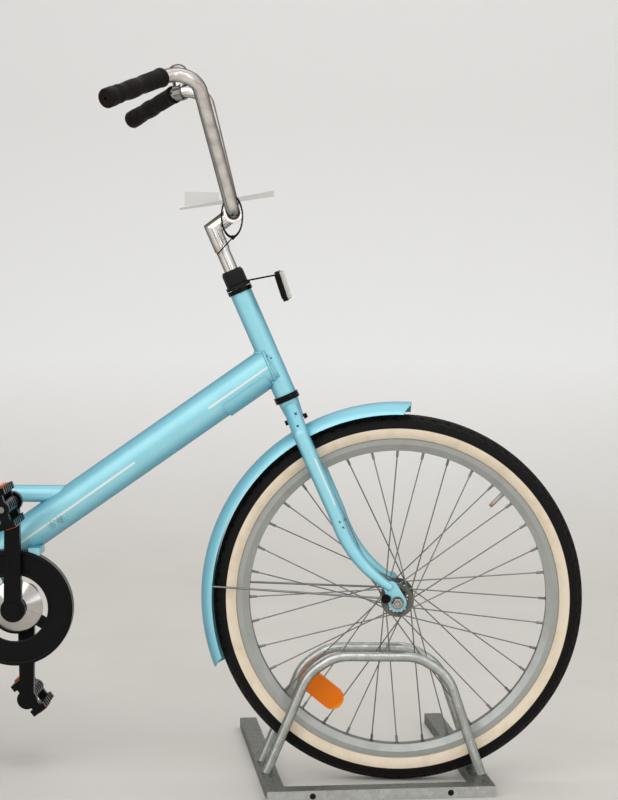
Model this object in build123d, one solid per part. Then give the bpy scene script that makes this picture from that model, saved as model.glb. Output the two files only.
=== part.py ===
from build123d import *
import os
from math import asin, atan2, cos, degrees, hypot, radians, sin, tan

# Kids bicycle with 24-inch wheels, standing with its front wheel in a floor rack.
# Origin on the floor under the front axle, +X ahead, +Y to the rider's left, +Z up.

# Layout
wheelbase = 1040.0
wheel_radius = 300.0
head_angle_deg = 66.5
fork_rake = 35.0
bracket_setback = 617.0
bracket_height = 289.0
seat_angle_deg = 70.0
running_clearance = 0.05
seat_gap = 0.3
overrun = 5.0

# Tyre and rim
tyre_width = 47.0
crown_half_deg = 15.0
shoulder_deg = 52.0
shoulder_fullness_share = 1.03
rim_flange_radius = 261.0
rim_inner_radius = 241.0
rim_outer_width = 31.0
rim_wall = 2.4
rim_well_depth = 9.0
rim_nose_width = 20.0
valve_angle_deg = 45.0
valve_diameter = 7.0
valve_length = 24.0

# Spokes and hubs
spoke_count = 36
spoke_diameter = 2.0
spoke_crosses = 3
spoke_circle_radius = 22.5
spoke_head_offset = 2.3
nipple_diameter = 4.0
nipple_length = 12.0
nipple_stagger = 3.0
flange_radius = 26.5
flange_thickness = 3.0
flange_hole_diameter = 4.4
flange_hole_inset = 5.2
flange_half_gap = 33.0
hub_barrel_radius = 13.0
hub_waist_radius = 11.0
hub_end_radius = 12.0
hub_half_length = 45.5
rear_flange_radius = 30.0
rear_spoke_circle_radius = 26.0
rear_barrel_radius = 21.0
rear_flange_half_gap = 28.0
rear_hub_half_length = 40.0
axle_diameter = 9.5
front_dropout_half_gap = 50.0
rear_dropout_half_gap = 57.0
dropout_thickness = 5.0
washer_radius = 10.0
washer_thickness = 1.6
nut_across_flats = 15.0
nut_height = 8.0
axle_stub = 3.0

# Coaster brake arm
coaster_arm_reach = 150.0
coaster_arm_root_radius = 15.0
coaster_arm_tip_radius = 8.0
coaster_arm_hole_diameter = 6.0
coaster_arm_thickness = 3.0

# Reflector clipped across the spokes
spoke_reflector_length = 80.0
spoke_reflector_width = 37.0
spoke_reflector_thickness = 9.0
spoke_reflector_radius = 194.0
spoke_reflector_angle_deg = 231.0
spoke_reflector_side_offset = 10.0

# Head parts, placed by their distance along the steering axis from the axle's foot
race_bottom_t = 365.8
race_height = 4.6
lower_cup_height = 5.2
head_tube_diameter = 36.0
head_tube_bore = 31.0
head_tube_length = 180.0
cup_diameter = 41.0
upper_cup_height = 7.0
cone_height = 6.0
cap_diameter = 36.0
cap_height = 23.0
cap_shoulder = 2.5
bearing_gap = 0.6
steerer_diameter = 25.4
steerer_bore = 22.4

# Fork
blade_top_diameter = 26.0
blade_mid_diameter = 24.0
blade_end_diameter = 14.0
blade_half_gap = 43.0
blade_shoulder_drop = 44.0
blade_crown_drop = 12.0
blade_straight_drop = 190.0
blade_curve_drop = 285.0
blade_end_drop = 328.0
blade_curve_rake_share = 0.34
dropout_radius = 14.5
crown_top_diameter = 34.0
crown_end_diameter = 27.0
crown_depth = 34.0
fork_end_neck_radius = 11.0

# Stem and bar
quill_diameter = 22.2
stem_elbow_t = 668.0
stem_elbow_diameter = 25.0
stem_step_t = 630.0
stem_collar_length = 26.0
clamp_reach = 33.0
clamp_rise = 25.0
clamp_outer_diameter = 31.0
clamp_width = 40.0
bar_diameter = 22.2
bar_turn_deg = 2.6
bar_bend_radius = 38.0
bar_centre_half = 41.0
bar_shoulder_setback = 52.0
bar_shoulder_rise = 206.0
bar_shoulder_half = 186.0
grip_front_setback = 104.0
grip_front_rise = 203.0
grip_front_half = 202.0
grip_back_setback = 180.0
grip_back_rise = 166.0
grip_back_half = 294.0
grip_diameter = 31.0
grip_waist_diameter = 28.0
grip_ring_length = 7.0
grip_end_wall = 5.0
grip_end_hole = 6.0
grip_lead = 18.0

# Bell
bell_diameter = 34.0
bell_height = 24.0
bell_crown_radius = 15.0
bell_base_diameter = 22.0
bell_base_height = 12.0
bell_grip_gap = 14.0
bell_band_wall = 3.5
bell_clamp_width = 14.0

# Front reflector on its bracket
bracket_thickness = 2.5
bracket_width = 14.0
bracket_reach = 52.0
bracket_climb_deg = 11.0
bracket_drop = 40.0
bracket_tilt_deg = 18.0
reflector_width = 56.0
reflector_height = 50.0
reflector_body_thickness = 8.0
reflector_lens_thickness = 5.0
reflector_corner_radius = 6.0
reflector_lens_inset = 2.0

# Mudguards
guard_crown_radius = 320.0
guard_edge_radius = 301.0
guard_width = 56.0
guard_thickness = 1.2
front_guard_start_deg = 86.0
front_guard_end_deg = 201.0
rear_guard_start_deg = 14.0
rear_guard_end_deg = 203.0
guard_tip_cut = 16.0
guard_tip_blunt_share = 0.25
guard_stay_diameter = 3.4
guard_stay_gap = 1.0
front_stay_angle_deg = 176.0
rear_stay_angle_deg = 166.0
stay_bolt_diameter = 9.0
stay_bolt_height = 5.0
stay_eye_rise_share = 0.8

# Frame tubes
main_tube_diameter = 60.0
main_tube_angle_deg = 35.0
main_tube_head_t = 431.0
gusset_length = 84.0
gusset_start = 18.0
gusset_wall = 3.0
gusset_edge_drop = 10.0
brace_diameter = 28.0
brace_height = 468.0
seat_tube_diameter = 32.0
seat_tube_length = 322.0
seat_post_diameter = 26.0
seat_post_top = 500.0
seat_post_bottom = 200.0
shell_diameter = 42.0
shell_half_width = 34.0
chain_stay_diameter = 18.0
chain_stay_root_half = 22.0
chain_stay_mid_half = 38.5
chain_stay_mid_run = 126.0
chain_stay_end_run = 368.0
stay_bend_radius = 60.0
seat_stay_diameter = 14.0
seat_stay_root_drop = 30.0
seat_stay_root_s = seat_tube_length - seat_stay_root_drop
seat_stay_root_half = 14.0
seat_stay_mid_half = 38.0
seat_stay_mid_run = 84.0
bridge_diameter = 10.0
bridge_setback = 100.0
rear_dropout_radius = 17.0
dropout_slot_length = 34.0

# Crankset
crank_length = 175.0
chain_line = 45.5
chain_pitch = 12.7
chainring_teeth = 36
sprocket_teeth = 18
tooth_height = 4.0
tooth_thickness = 2.2
spindle_diameter = 16.0
crank_inner_right = 66.0
crank_inner_left = 60.0
crank_thickness = 14.0
crank_root_radius = 20.0
crank_arm_root_radius = 14.5
crank_arm_tip_radius = 11.5
crank_eye_radius = 16.5
crank_cap_radius = 12.0
crank_cap_height = 2.5
cover_radius = 44.0
cover_height = 12.0
cover_wall = 1.5
cover_relief = 1.2
cover_arm_width = 17.0
cover_arm_inner = 14.0
cup_outer_diameter = 38.0
bb_cup_depth = 6.0
pedal_axle_diameter = 10.0
pedal_axle_length = 104.0

# Chain
plate_height = 9.0
plate_thickness = 1.2
chain_half_gap = 2.0
ring_arms = 3
roller_width = 7.8
roller_sides = 4
roller_clear = 44.0

# Chain guard
guard_disc_radius = 94.0
guard_disc_hole = 54.0
guard_face_offset = 58.0
guard_skin = 2.0
guard_rim_depth = 18.0
guard_tail_radius = 20.0
guard_tail_setback = 300.0
guard_tail_rise = 62.0
guard_tab_width = 18.0
guard_tab_ahead = 32.0
guard_chain_gap = 3.0

# Pedals
pedal_length = 96.0
pedal_width = 64.0
pedal_thickness = 26.0
pedal_gap = 4.0
pedal_barrel_diameter = 24.0
pedal_rail = 11.0
pedal_notches = 5
pedal_notch_width = 8.0
pedal_notch_depth = 3.0
near_pedal_tilt_deg = 72.0
far_pedal_tilt_deg = 52.0
pedal_reflector_length = 44.0
pedal_reflector_height = 16.0
pedal_reflector_depth = 3.0

# Saddle
saddle_length = 265.0
saddle_width = 205.0
saddle_nose_width = 50.0
saddle_height = 62.0
saddle_tail_share = 1 / 3
saddle_edge_radius = 20.0
saddle_bar_diameter = 10.5
saddle_base_rise = 62.0
saddle_rail_diameter = 7.0
saddle_rail_half = 24.0
saddle_ahead = 118.0
bumper_diameter = 34.0
bumper_groove = 4.0
bumper_ribs = 3
clamp_block_width = 46.0

# Carrier
carrier_rod_diameter = 8.0
carrier_rung_diameter = 7.0
carrier_height = 652.0
carrier_front_setback = 800.0
carrier_back_setback = 1165.0
carrier_half_width = 58.0
carrier_rungs = 4
carrier_leg_setback = 1058.0
carrier_foot_half = 66.0
carrier_foot_rise = 24.0
carrier_plate_thickness = 2.5
carrier_plate_height = 26.0
rear_reflector_width = 86.0
rear_reflector_height = 40.0
rear_reflector_thickness = 9.0
rear_reflector_corner_radius = 10.0

# Kickstand on the left chain stay
stand_pivot_setback = 962.0
stand_pivot_height = 272.0
stand_pivot_half = 76.0
stand_tilt_deg = 14.0
stand_length = 250.0
stand_diameter = 13.0
stand_pin_diameter = 8.0
stand_foot_length = 30.0
stand_foot_diameter = 18.0

# Floor rack
base_turn_deg = 8.0
base_width = 364.0
base_arm_length = 545.0
base_arm_width = 29.0
base_height = 18.0
base_wall = 2.5
base_corner_x = -204.0
base_corner_y = -169.0
channel_depth = 33.0
hoop_diameter = 16.0
hoop_half_gap = 41.0
hoop_rise = 200.0
hoop_top_front = 28.0
hoop_top_back = 106.0
hoop_foot_front = 130.0
hoop_foot_back = 218.0
hoop_shoulder_drop = 31.0
hoop_shoulder_front = 77.0
hoop_shoulder_back = 151.0
hoop_bend_radius = 70.0
rack_bolt_hole_diameter = 10.0
rack_bolt_hole_inset = 72.0

# Derived places
axle_height = wheel_radius
front_axle_at = Vector(0, 0, axle_height)
rear_axle_at = Vector(-wheelbase, 0, axle_height)
bracket_at = Vector(-bracket_setback, 0, bracket_height)
steer_up = Vector(-cos(radians(head_angle_deg)), 0, sin(radians(head_angle_deg)))
steer_ahead = Vector(sin(radians(head_angle_deg)), 0, cos(radians(head_angle_deg)))
steer_foot = front_axle_at - steer_ahead * fork_rake
seat_up = Vector(-cos(radians(seat_angle_deg)), 0, sin(radians(seat_angle_deg)))
main_back = Vector(-cos(radians(main_tube_angle_deg)), 0, -sin(radians(main_tube_angle_deg)))
head_bottom_t = race_bottom_t + race_height + bearing_gap + lower_cup_height
head_top_t = head_bottom_t + head_tube_length
cone_bottom_t = head_top_t + upper_cup_height + bearing_gap
bracket_bottom_t = cone_bottom_t + cone_height
cap_bottom_t = bracket_bottom_t + bracket_thickness
cap_top_t = cap_bottom_t + cap_height
chainring_radius = chain_pitch / 2 / sin(radians(180 / chainring_teeth))
sprocket_radius = chain_pitch / 2 / sin(radians(180 / sprocket_teeth))
right = -1
left = 1


def save(shape, node):
    """Write one piece to its own file."""
    export_step(shape, f"parts/{node}.step")


def on_steer(t, ahead=0.0, side=0.0):
    """Point at distance t along the steering axis, moved ahead and to the side."""
    return steer_foot + steer_up * t + steer_ahead * ahead + Vector(0, side, 0)


def on_seat(s, ahead=0.0, side=0.0):
    """Point at distance s up the seat tube from the bottom bracket."""
    across = Vector(seat_up.Z, 0, -seat_up.X)
    return bracket_at + seat_up * s + across * ahead + Vector(0, side, 0)


def steer_plane(t):
    """Plane across the steering axis, its x pointing ahead."""
    return Plane(origin=on_steer(t), x_dir=steer_ahead, z_dir=steer_up)


def side_plane(centre, offset=0.0):
    """Plane facing the right side: x ahead, y up, z towards the right."""
    origin = centre + Vector(0, -offset, 0)
    return Plane(origin=origin, x_dir=(1, 0, 0), z_dir=(0, -1, 0))


def rod(start, end, diameter):
    """Round bar from one point to another."""
    run = end - start
    return extrude(Plane(origin=start, z_dir=run) * Circle(diameter / 2), amount=run.length)


def cone(start, end, start_diameter, end_diameter):
    """Round taper from one point to another."""
    run = end - start
    axis = Plane(origin=start, z_dir=run)
    return axis * Solid.make_cone(start_diameter / 2, end_diameter / 2, run.length)


def bent_tube(points, diameter, bend_radius):
    """Round bar along straight runs joined by arcs."""
    path = FilletPolyline(*points, radius=bend_radius)
    section = Plane(origin=path @ 0, z_dir=path % 0) * Circle(diameter / 2)
    return sweep(section, path=path)


def disc(plane, outer, height, bore=0.0):
    """Disc standing on a plane, with a bore if one is given."""
    face = Circle(outer / 2)
    if bore:
        face -= Circle(bore / 2)
    return extrude(plane * face, amount=height)


def lathe(points):
    """Body of revolution about Z from an outline of radius and height."""
    return revolve(Plane.XZ * Polygon(*points, align=None), axis=Axis.Z)


def turned_bar(shape):
    """Turn a piece of the cockpit about the steering axis, as it stands in the photo."""
    return shape.rotate(Axis(on_steer(0), steer_up), bar_turn_deg)


def make_tyre():
    """Casing with a narrow crown, full shoulders and a bead that sits in the rim."""
    half = tyre_width / 2
    centre = wheel_radius - half
    shoulder = half * shoulder_fullness_share
    flange_half = rim_outer_width / 2 - rim_wall - running_clearance
    bead_radius = rim_flange_radius - rim_well_depth + rim_wall
    slope = (half - flange_half) / (centre - rim_flange_radius)
    upper = [
        (bead_radius, flange_half - slope * (rim_flange_radius - bead_radius)),
        (centre, half),
        (centre + shoulder * cos(radians(shoulder_deg)), shoulder * sin(radians(shoulder_deg))),
        (wheel_radius, half * sin(radians(crown_half_deg))),
    ]
    lower = [(radius, -height) for radius, height in reversed(upper)]
    return lathe(upper + lower)


def make_rim():
    """Channel rim with hooked flanges, a well and a rounded nose."""
    half = rim_outer_width / 2
    well = rim_flange_radius - rim_well_depth
    floor_radius = well + rim_wall
    nose = rim_nose_width / 2
    outline = [
        (rim_flange_radius, half),
        (rim_flange_radius, half - rim_wall),
        (floor_radius, half - rim_wall),
        (floor_radius, -half + rim_wall),
        (rim_flange_radius, -half + rim_wall),
        (rim_flange_radius, -half),
        (well, -half),
        (rim_inner_radius, -nose),
        (rim_inner_radius, nose),
        (well, half),
    ]
    return lathe(outline)


def spoke_lines(flange_offset, circle_radius):
    """Start and end points of every spoke of one wheel, laced in tangent crosses."""
    per_flange = spoke_count // 2
    hole_step = 360 / per_flange
    lines = []
    for side in (right, left):
        phase = 0 if side == right else hole_step / 2
        for index in range(per_flange):
            leading = index % 2 == 0
            hole_deg = phase + hole_step * index
            sweep_deg = spoke_crosses * hole_step * (1 if leading else -1)
            head = spoke_head_offset if leading else -spoke_head_offset
            hole = polar_point(circle_radius, hole_deg, -side * (flange_offset + head))
            nipple = polar_point(rim_inner_radius, hole_deg + sweep_deg, -side * nipple_stagger)
            lines.append((hole, nipple))
    return lines


def polar_point(radius, angle_deg, height):
    """Point of a wheel from its radius, angle and distance towards the right."""
    return Vector(radius * cos(radians(angle_deg)), radius * sin(radians(angle_deg)), height)


def make_spokes(flange_offset, circle_radius):
    """All spokes of a wheel, each with its nipple at the rim."""
    pieces = []
    for hole, nipple in spoke_lines(flange_offset, circle_radius):
        inward = (hole - nipple).normalized()
        wire = rod(hole, nipple, spoke_diameter)
        pieces.append(wire + rod(nipple, nipple + inward * nipple_length, nipple_diameter))
    return Compound(children=pieces)


def make_front_hub():
    """Low-flange hub with a waisted barrel and drilled flanges, bored for its axle."""
    bore = axle_diameter / 2 + running_clearance
    flange_out = flange_half_gap + flange_thickness / 2
    flange_in = flange_half_gap - flange_thickness / 2
    upper = [
        (bore, hub_half_length),
        (hub_end_radius, hub_half_length),
        (hub_end_radius, flange_out),
        (flange_radius, flange_out),
        (flange_radius, flange_in),
        (hub_barrel_radius, flange_in),
        (hub_waist_radius, 0),
    ]
    lower = [(radius, -height) for radius, height in reversed(upper[:-1])]
    return lathe(upper + lower) - flange_holes(spoke_circle_radius, hub_half_length)


def make_rear_hub():
    """Coaster hub: fat barrel between two flanges, with a narrow end on each side."""
    bore = axle_diameter / 2 + running_clearance
    flange_out = rear_flange_half_gap + flange_thickness / 2
    flange_in = rear_flange_half_gap - flange_thickness / 2
    end_radius = rear_barrel_radius - flange_thickness
    upper = [
        (bore, rear_hub_half_length),
        (end_radius, rear_hub_half_length),
        (end_radius, flange_out),
        (rear_flange_radius, flange_out),
        (rear_flange_radius, flange_in),
        (rear_barrel_radius, flange_in),
    ]
    lower = [(radius, -height) for radius, height in reversed(upper)]
    return lathe(upper + lower)


def flange_holes(circle_radius, reach):
    """Lightening holes through both flanges, one inside each spoke hole."""
    per_flange = spoke_count // 2
    hole = Cylinder(flange_hole_diameter / 2, reach * 2)
    radius = circle_radius - flange_hole_inset
    pitch = 360 / per_flange
    return Compound(children=[
        Pos(polar_point(radius, pitch * index + pitch / 2, 0)) * hole for index in range(per_flange)
    ])


def make_valve():
    """Valve stem that stands inwards from the rim."""
    start = polar_point(rim_inner_radius, valve_angle_deg, 0)
    inward = polar_point(1, valve_angle_deg, 0) * -1
    return rod(start, start + inward * valve_length, valve_diameter)


def make_spoke_reflector():
    """Stadium-shaped reflector lying across the spokes in the wheel plane."""
    centre = polar_point(spoke_reflector_radius, spoke_reflector_angle_deg, spoke_reflector_side_offset)
    face = SlotOverall(spoke_reflector_length, spoke_reflector_width)
    plate = extrude(face, amount=spoke_reflector_thickness / 2, both=True)
    turn = spoke_reflector_angle_deg + 90
    return Pos(centre) * Rot(0, 0, turn) * plate


def build_wheel(prefix, centre, hub, spokes):
    """Place one wheel's pieces at its axle and write them."""
    place = side_plane(centre).location
    save(place * make_tyre(), f"{prefix}_tyre")
    save(place * (make_rim() + make_valve()), f"{prefix}_rim")
    save(place * hub, f"{prefix}_hub")
    reflector = make_spoke_reflector()
    save(place * (spokes - reflector), f"{prefix}_spokes")
    save(place * reflector, f"{prefix}_wheel_reflector")





def make_coaster_arm():
    """Brake arm on the left of the rear hub, strapped to the chain stay."""
    foot = rear_axle_at + Vector(coaster_arm_reach, 0, 0)
    low = (bracket_height - axle_height) * coaster_arm_reach / (wheelbase - bracket_setback)
    foot += Vector(0, 0, low - chain_stay_diameter / 2 - coaster_arm_tip_radius - seat_gap)
    inner = rear_hub_half_length + seat_gap
    plane = facing_plane(rear_axle_at, left, inner)
    tip = Pos((foot - rear_axle_at).X * plane.x_dir.X, (foot - rear_axle_at).Z * plane.y_dir.Z)
    eye = Circle(coaster_arm_root_radius)
    end = tip * Circle(coaster_arm_tip_radius)
    face = make_hull(eye.edges() + end.edges()) - Circle(axle_diameter / 2 + running_clearance)
    face -= tip * Circle(coaster_arm_hole_diameter / 2)
    return extrude(plane * face, amount=coaster_arm_thickness)


def hex_nut(plane, height):
    """Axle nut standing on a plane."""
    face = RegularPolygon(nut_across_flats / 2, 6, major_radius=False)
    return extrude(plane * face, amount=height)


def make_axle(centre, half_gap, locknut_from):
    """Axle with a locknut inside and a washer and nut outside each end plate."""
    outer = half_gap + dropout_thickness
    tip = outer + washer_thickness + nut_height + axle_stub
    axle = disc(side_plane(centre, -tip), axle_diameter, tip * 2)
    for side in (right, left):
        inner_plane = facing_plane(centre, side, locknut_from)
        outer_plane = facing_plane(centre, side, outer)
        nut_plane = facing_plane(centre, side, outer + washer_thickness)
        axle += hex_nut(inner_plane, half_gap - locknut_from)
        axle += disc(outer_plane, washer_radius * 2, washer_thickness)
        axle += hex_nut(nut_plane, nut_height)
    return axle


def facing_plane(centre, side, offset):
    """Plane at an offset from the wheel plane that faces outwards on one side."""
    return Plane(origin=centre + Vector(0, side * offset, 0), x_dir=(1, 0, 0), z_dir=(0, side, 0))


def make_blade(side):
    """One fork blade: straight and stout above, curved ahead and tapering to its end."""
    top_t = race_bottom_t - blade_crown_drop
    shoulder = on_steer(top_t - blade_shoulder_drop, 0, side * blade_half_gap)
    straight = on_steer(top_t - blade_straight_drop, 0, side * blade_half_gap)
    curve_rake = fork_rake * blade_curve_rake_share
    end_half = front_dropout_half_gap + dropout_thickness / 2
    curve_half = (blade_half_gap + end_half) / 2
    curve = on_steer(top_t - blade_curve_drop, curve_rake, side * curve_half)
    end = on_steer(top_t - blade_end_drop, fork_rake, side * end_half)
    crown = on_steer(top_t, 0, side * blade_top_diameter / 4)
    blade = rod(crown, shoulder, blade_top_diameter)
    blade += Pos(shoulder) * Sphere(blade_top_diameter / 2)
    blade += cone(shoulder, straight, blade_top_diameter, blade_mid_diameter)
    middle = (blade_mid_diameter + blade_end_diameter) / 2
    sections = [
        Plane(origin=straight, z_dir=straight - shoulder) * Circle(blade_mid_diameter / 2),
        Plane(origin=curve, z_dir=end - straight) * Circle(middle / 2),
        Plane(origin=end, z_dir=end - curve) * Circle(blade_end_diameter / 2),
    ]
    return blade + loft(sections)


def make_fork_end(side):
    """Flat plate at the foot of a blade, narrowing from the axle up into the blade."""
    plane = facing_plane(front_axle_at, side, front_dropout_half_gap)
    top_t = race_bottom_t - blade_crown_drop
    rise = on_steer(top_t - blade_end_drop, fork_rake) - front_axle_at
    neck = Pos(rise.X, rise.Z * plane.y_dir.Z) * Circle(fork_end_neck_radius)
    outline = make_hull(Circle(dropout_radius).edges() + neck.edges())
    return extrude(plane * outline, amount=dropout_thickness)


def make_fork():
    """Steerer, tapered crown and both blades with their end plates."""
    steerer = disc(steer_plane(race_bottom_t), steerer_diameter, cap_top_t - race_bottom_t - seat_gap)
    crown = cone(on_steer(race_bottom_t), on_steer(race_bottom_t - crown_depth),
                 crown_top_diameter, crown_end_diameter)
    fork = steerer + crown
    for side in (right, left):
        fork += make_blade(side) + make_fork_end(side)
    bore_from = race_bottom_t - blade_crown_drop
    bore = disc(steer_plane(bore_from), steerer_bore, cap_top_t - bore_from)
    axle_hole = disc(side_plane(front_axle_at, -wheel_radius), axle_diameter, wheel_radius * 2)
    return fork - bore - axle_hole


def make_headset_nut():
    """Upper cone and the tall cap nut over it, its shoulder rounded off."""
    bore = steerer_diameter / 2
    outer = cap_diameter / 2
    cone_ring = disc(steer_plane(cone_bottom_t), cup_diameter, cone_height, steerer_diameter)
    outline = [
        (bore, 0),
        (outer, 0),
        (outer, cap_height - cap_shoulder * 2),
        (outer - cap_shoulder, cap_height),
        (bore, cap_height),
    ]
    return [cone_ring, steer_plane(cap_bottom_t).location * lathe(outline)]


def bracket_knees():
    """Start, knee and foot of the reflector's bracket, and its dropped leg's direction."""
    climb = radians(bracket_climb_deg)
    tilt = radians(bracket_tilt_deg)
    start = on_steer(bracket_bottom_t + bracket_thickness / 2, cap_diameter / 2 - bracket_width / 2)
    knee = start + Vector(cos(climb), 0, sin(climb)) * bracket_reach
    foot = knee + Vector(sin(tilt), 0, -cos(tilt)) * bracket_drop
    return start, knee, foot


def flat_strip(start, end, width, thickness):
    """Flat bar from one point to another, its width across the bicycle."""
    run = end - start
    return extrude(Plane(origin=start, x_dir=(0, 1, 0), z_dir=run) * Rectangle(width, thickness),
                   amount=run.length)


def make_reflector_bracket():
    """Bent strip from the headset ahead and down to the reflector."""
    ring = disc(steer_plane(bracket_bottom_t), cap_diameter, bracket_thickness, steerer_diameter)
    start, knee, foot = bracket_knees()
    arm = flat_strip(start, knee, bracket_width, bracket_thickness)
    arm += flat_strip(knee, foot, bracket_width, bracket_thickness)
    bore = disc(steer_plane(cone_bottom_t), steerer_diameter, cap_height)
    cap = disc(steer_plane(cap_bottom_t), cap_diameter, cap_height)
    below = disc(steer_plane(cone_bottom_t), cup_diameter, cone_height)
    return ring + (arm - bore - cap - below)


def reflector_plane():
    """Front face of the bracket's dropped leg, facing ahead."""
    knee, foot = bracket_knees()[1:]
    tilt = radians(bracket_tilt_deg)
    face = Vector(cos(tilt), 0, sin(tilt))
    centre = foot + (knee - foot) / 2 + face * (bracket_thickness / 2)
    return Plane(origin=centre, x_dir=(0, -1, 0), z_dir=face)


def make_front_reflector():
    """Black back with rounded corners, and its clear lens."""
    plane = reflector_plane()
    back_face = RectangleRounded(reflector_width, reflector_height, reflector_corner_radius)
    back = extrude(plane * back_face, amount=reflector_body_thickness)
    lens_face = offset(back_face, -reflector_lens_inset)
    lens_plane = plane.offset(reflector_body_thickness)
    lens = extrude(lens_plane * lens_face, amount=reflector_lens_thickness)
    return back, lens


def bar_point(setback, rise, half, side):
    """Point of the handlebar, measured from the middle of its clamp."""
    middle = on_steer(stem_elbow_t) + Vector(clamp_reach, 0, clamp_rise)
    return middle + Vector(-setback, side * half, rise)


def bar_points():
    """Corners of the handlebar's centre line, from right grip to left grip."""
    halves = []
    for side in (right, left):
        front, back = grip_ends(side)
        lead = front - (back - front).normalized() * grip_lead
        shoulder = bar_point(bar_shoulder_setback, bar_shoulder_rise, bar_shoulder_half, side)
        halves.append([back, lead, shoulder, bar_point(0, 0, bar_centre_half, side)])
    return halves[0] + halves[1][::-1]


def make_stem():
    """Quill with a step, a mitred elbow, a forward neck and the bar clamp."""
    middle = bar_point(0, 0, 0, right)
    elbow = on_steer(stem_elbow_t)
    quill = rod(on_steer(head_top_t), on_steer(stem_step_t + stem_collar_length), quill_diameter)
    path = Polyline(on_steer(stem_step_t), elbow, middle)
    section = Plane(origin=on_steer(stem_step_t), z_dir=steer_up) * Circle(stem_elbow_diameter / 2)
    neck = sweep(section, path=path, transition=Transition.RIGHT)
    clamp = disc(side_plane(middle, -clamp_width / 2), clamp_outer_diameter, clamp_width)
    return quill + neck + clamp - disc(side_plane(middle, -clamp_width), bar_diameter, clamp_width * 2)


def grip_ends(side):
    """Front and back ends of one grip's centre line."""
    front = bar_point(grip_front_setback, grip_front_rise, grip_front_half, side)
    back = bar_point(grip_back_setback, grip_back_rise, grip_back_half, side)
    return front, back


def bar_path():
    """Centre line of the handlebar, from the right grip's end to the left one's."""
    return FilletPolyline(*bar_points(), radius=bar_bend_radius)


def make_handlebar():
    """High bar, bent up from the clamp and swept back to the grips."""
    return bent_tube(bar_points(), bar_diameter, bar_bend_radius)


def make_grip(side):
    """Rubber grip with a ring at each end, a waist and a closed end with a small hole."""
    front, back = grip_ends(side)
    outward = (back - front).normalized()
    plane = Plane(origin=front, z_dir=outward)
    length = (back - front).length
    outer = grip_diameter / 2
    waist = grip_waist_diameter / 2
    bore = bar_diameter / 2 + running_clearance
    outline = [
        (bore, 0),
        (outer, 0),
        (outer, grip_ring_length),
        (waist, grip_ring_length * 2),
        (outer, length / 2),
        (waist, length - grip_ring_length * 2),
        (outer, length - grip_ring_length),
        (outer, length + grip_end_wall),
        (grip_end_hole / 2, length + grip_end_wall),
        (grip_end_hole / 2, length),
        (bore, length),
    ]
    return plane.location * lathe(outline)


def bell_plane():
    """Seat of the bell on top of the left side of the bar, just ahead of the grip."""
    path = bar_path()
    front, back = grip_ends(left)
    reach = path.length - (back - front).length - bell_grip_gap
    run = path.tangent_at(reach, position_mode=PositionMode.LENGTH)
    across = run.cross(Vector(0, 0, 1)).normalized()
    centre = path.position_at(reach, position_mode=PositionMode.LENGTH)
    return Plane(origin=centre, x_dir=run, z_dir=across.cross(run).normalized())


def make_bell():
    """Domed bell on a narrow base, clamped round the bar."""
    seat = bar_diameter / 4
    skirt = bar_diameter / 2 + bell_base_height
    base = disc(Plane.XY.offset(seat), bell_base_diameter, skirt - seat)
    dome = disc(Plane.XY.offset(skirt), bell_diameter, bell_height)
    dome = fillet(dome.edges().sort_by(Axis.Z)[-1], bell_crown_radius)
    outer = bar_diameter + bell_band_wall * 2
    band = disc(Plane.YZ.offset(-bell_clamp_width / 2), outer, bell_clamp_width)
    room = bent_tube(bar_points(), bar_diameter + seat_gap, bar_bend_radius)
    return bell_plane().location * (base + dome + band) - room


def guard_section():
    """Curved strip across a mudguard, in radius and side."""
    half = guard_width / 2
    inner_half = half - guard_thickness
    inner_crown = guard_crown_radius - guard_thickness
    edge = guard_edge_radius
    return make_face([
        ThreePointArc((edge, -half), (guard_crown_radius, 0), (edge, half)),
        Line((edge, half), (edge, inner_half)),
        ThreePointArc((edge, inner_half), (inner_crown, 0), (edge, -inner_half)),
        Line((edge, -inner_half), (edge, -half)),
    ])


def make_mudguard(centre, start_deg, end_deg):
    """Mudguard swept about the wheel, its two ends cut to a point at the crown."""
    arc = end_deg - start_deg
    blade = revolve(Plane.XZ * guard_section(), axis=Axis.Z, revolution_arc=arc)
    blade = Rot(0, 0, start_deg) * blade
    for angle, sense in ((start_deg, 1), (end_deg, -1)):
        blade -= tip_cutter(angle, sense)
    return side_plane(centre).location * blade


def tip_cutter(angle_deg, sense):
    """Two wedges that take the corners off one end of a mudguard."""
    half = guard_width / 2
    depth = guard_tip_cut
    shapes = []
    for flank in (-1, 1):
        outline = Polygon(
            (-overrun, flank * half * guard_tip_blunt_share),
            (depth, flank * (half + overrun)),
            (-overrun, flank * (half + overrun)),
            align=None,
        )
        wedge = Plane.YZ * outline
        body = extrude(wedge, amount=guard_crown_radius + overrun)
        shapes.append(body if sense > 0 else mirror(body, about=Plane.XZ))
    return Rot(0, 0, angle_deg) * (shapes[0] + shapes[1])





def make_stays(centre, half_gap, angle_deg, spot):
    """A wire stay on each side, from the dropout to the mudguard's edge, with its bolt."""
    pieces = []
    edge = polar_point(guard_edge_radius, angle_deg, 0)
    outer = half_gap + dropout_thickness
    head_half = (guard_width + guard_stay_diameter) / 2
    for side in (right, left):
        foot = centre + spot + Vector(0, side * (outer + guard_stay_gap + guard_stay_diameter / 2), 0)
        head = centre + Vector(edge.X, side * head_half, edge.Y)
        bolt = disc(facing_plane(centre + spot, side, outer), stay_bolt_diameter,
                    guard_stay_diameter + stay_bolt_height)
        pieces.append(rod(foot, head, guard_stay_diameter) + bolt)
    return pieces


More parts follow.
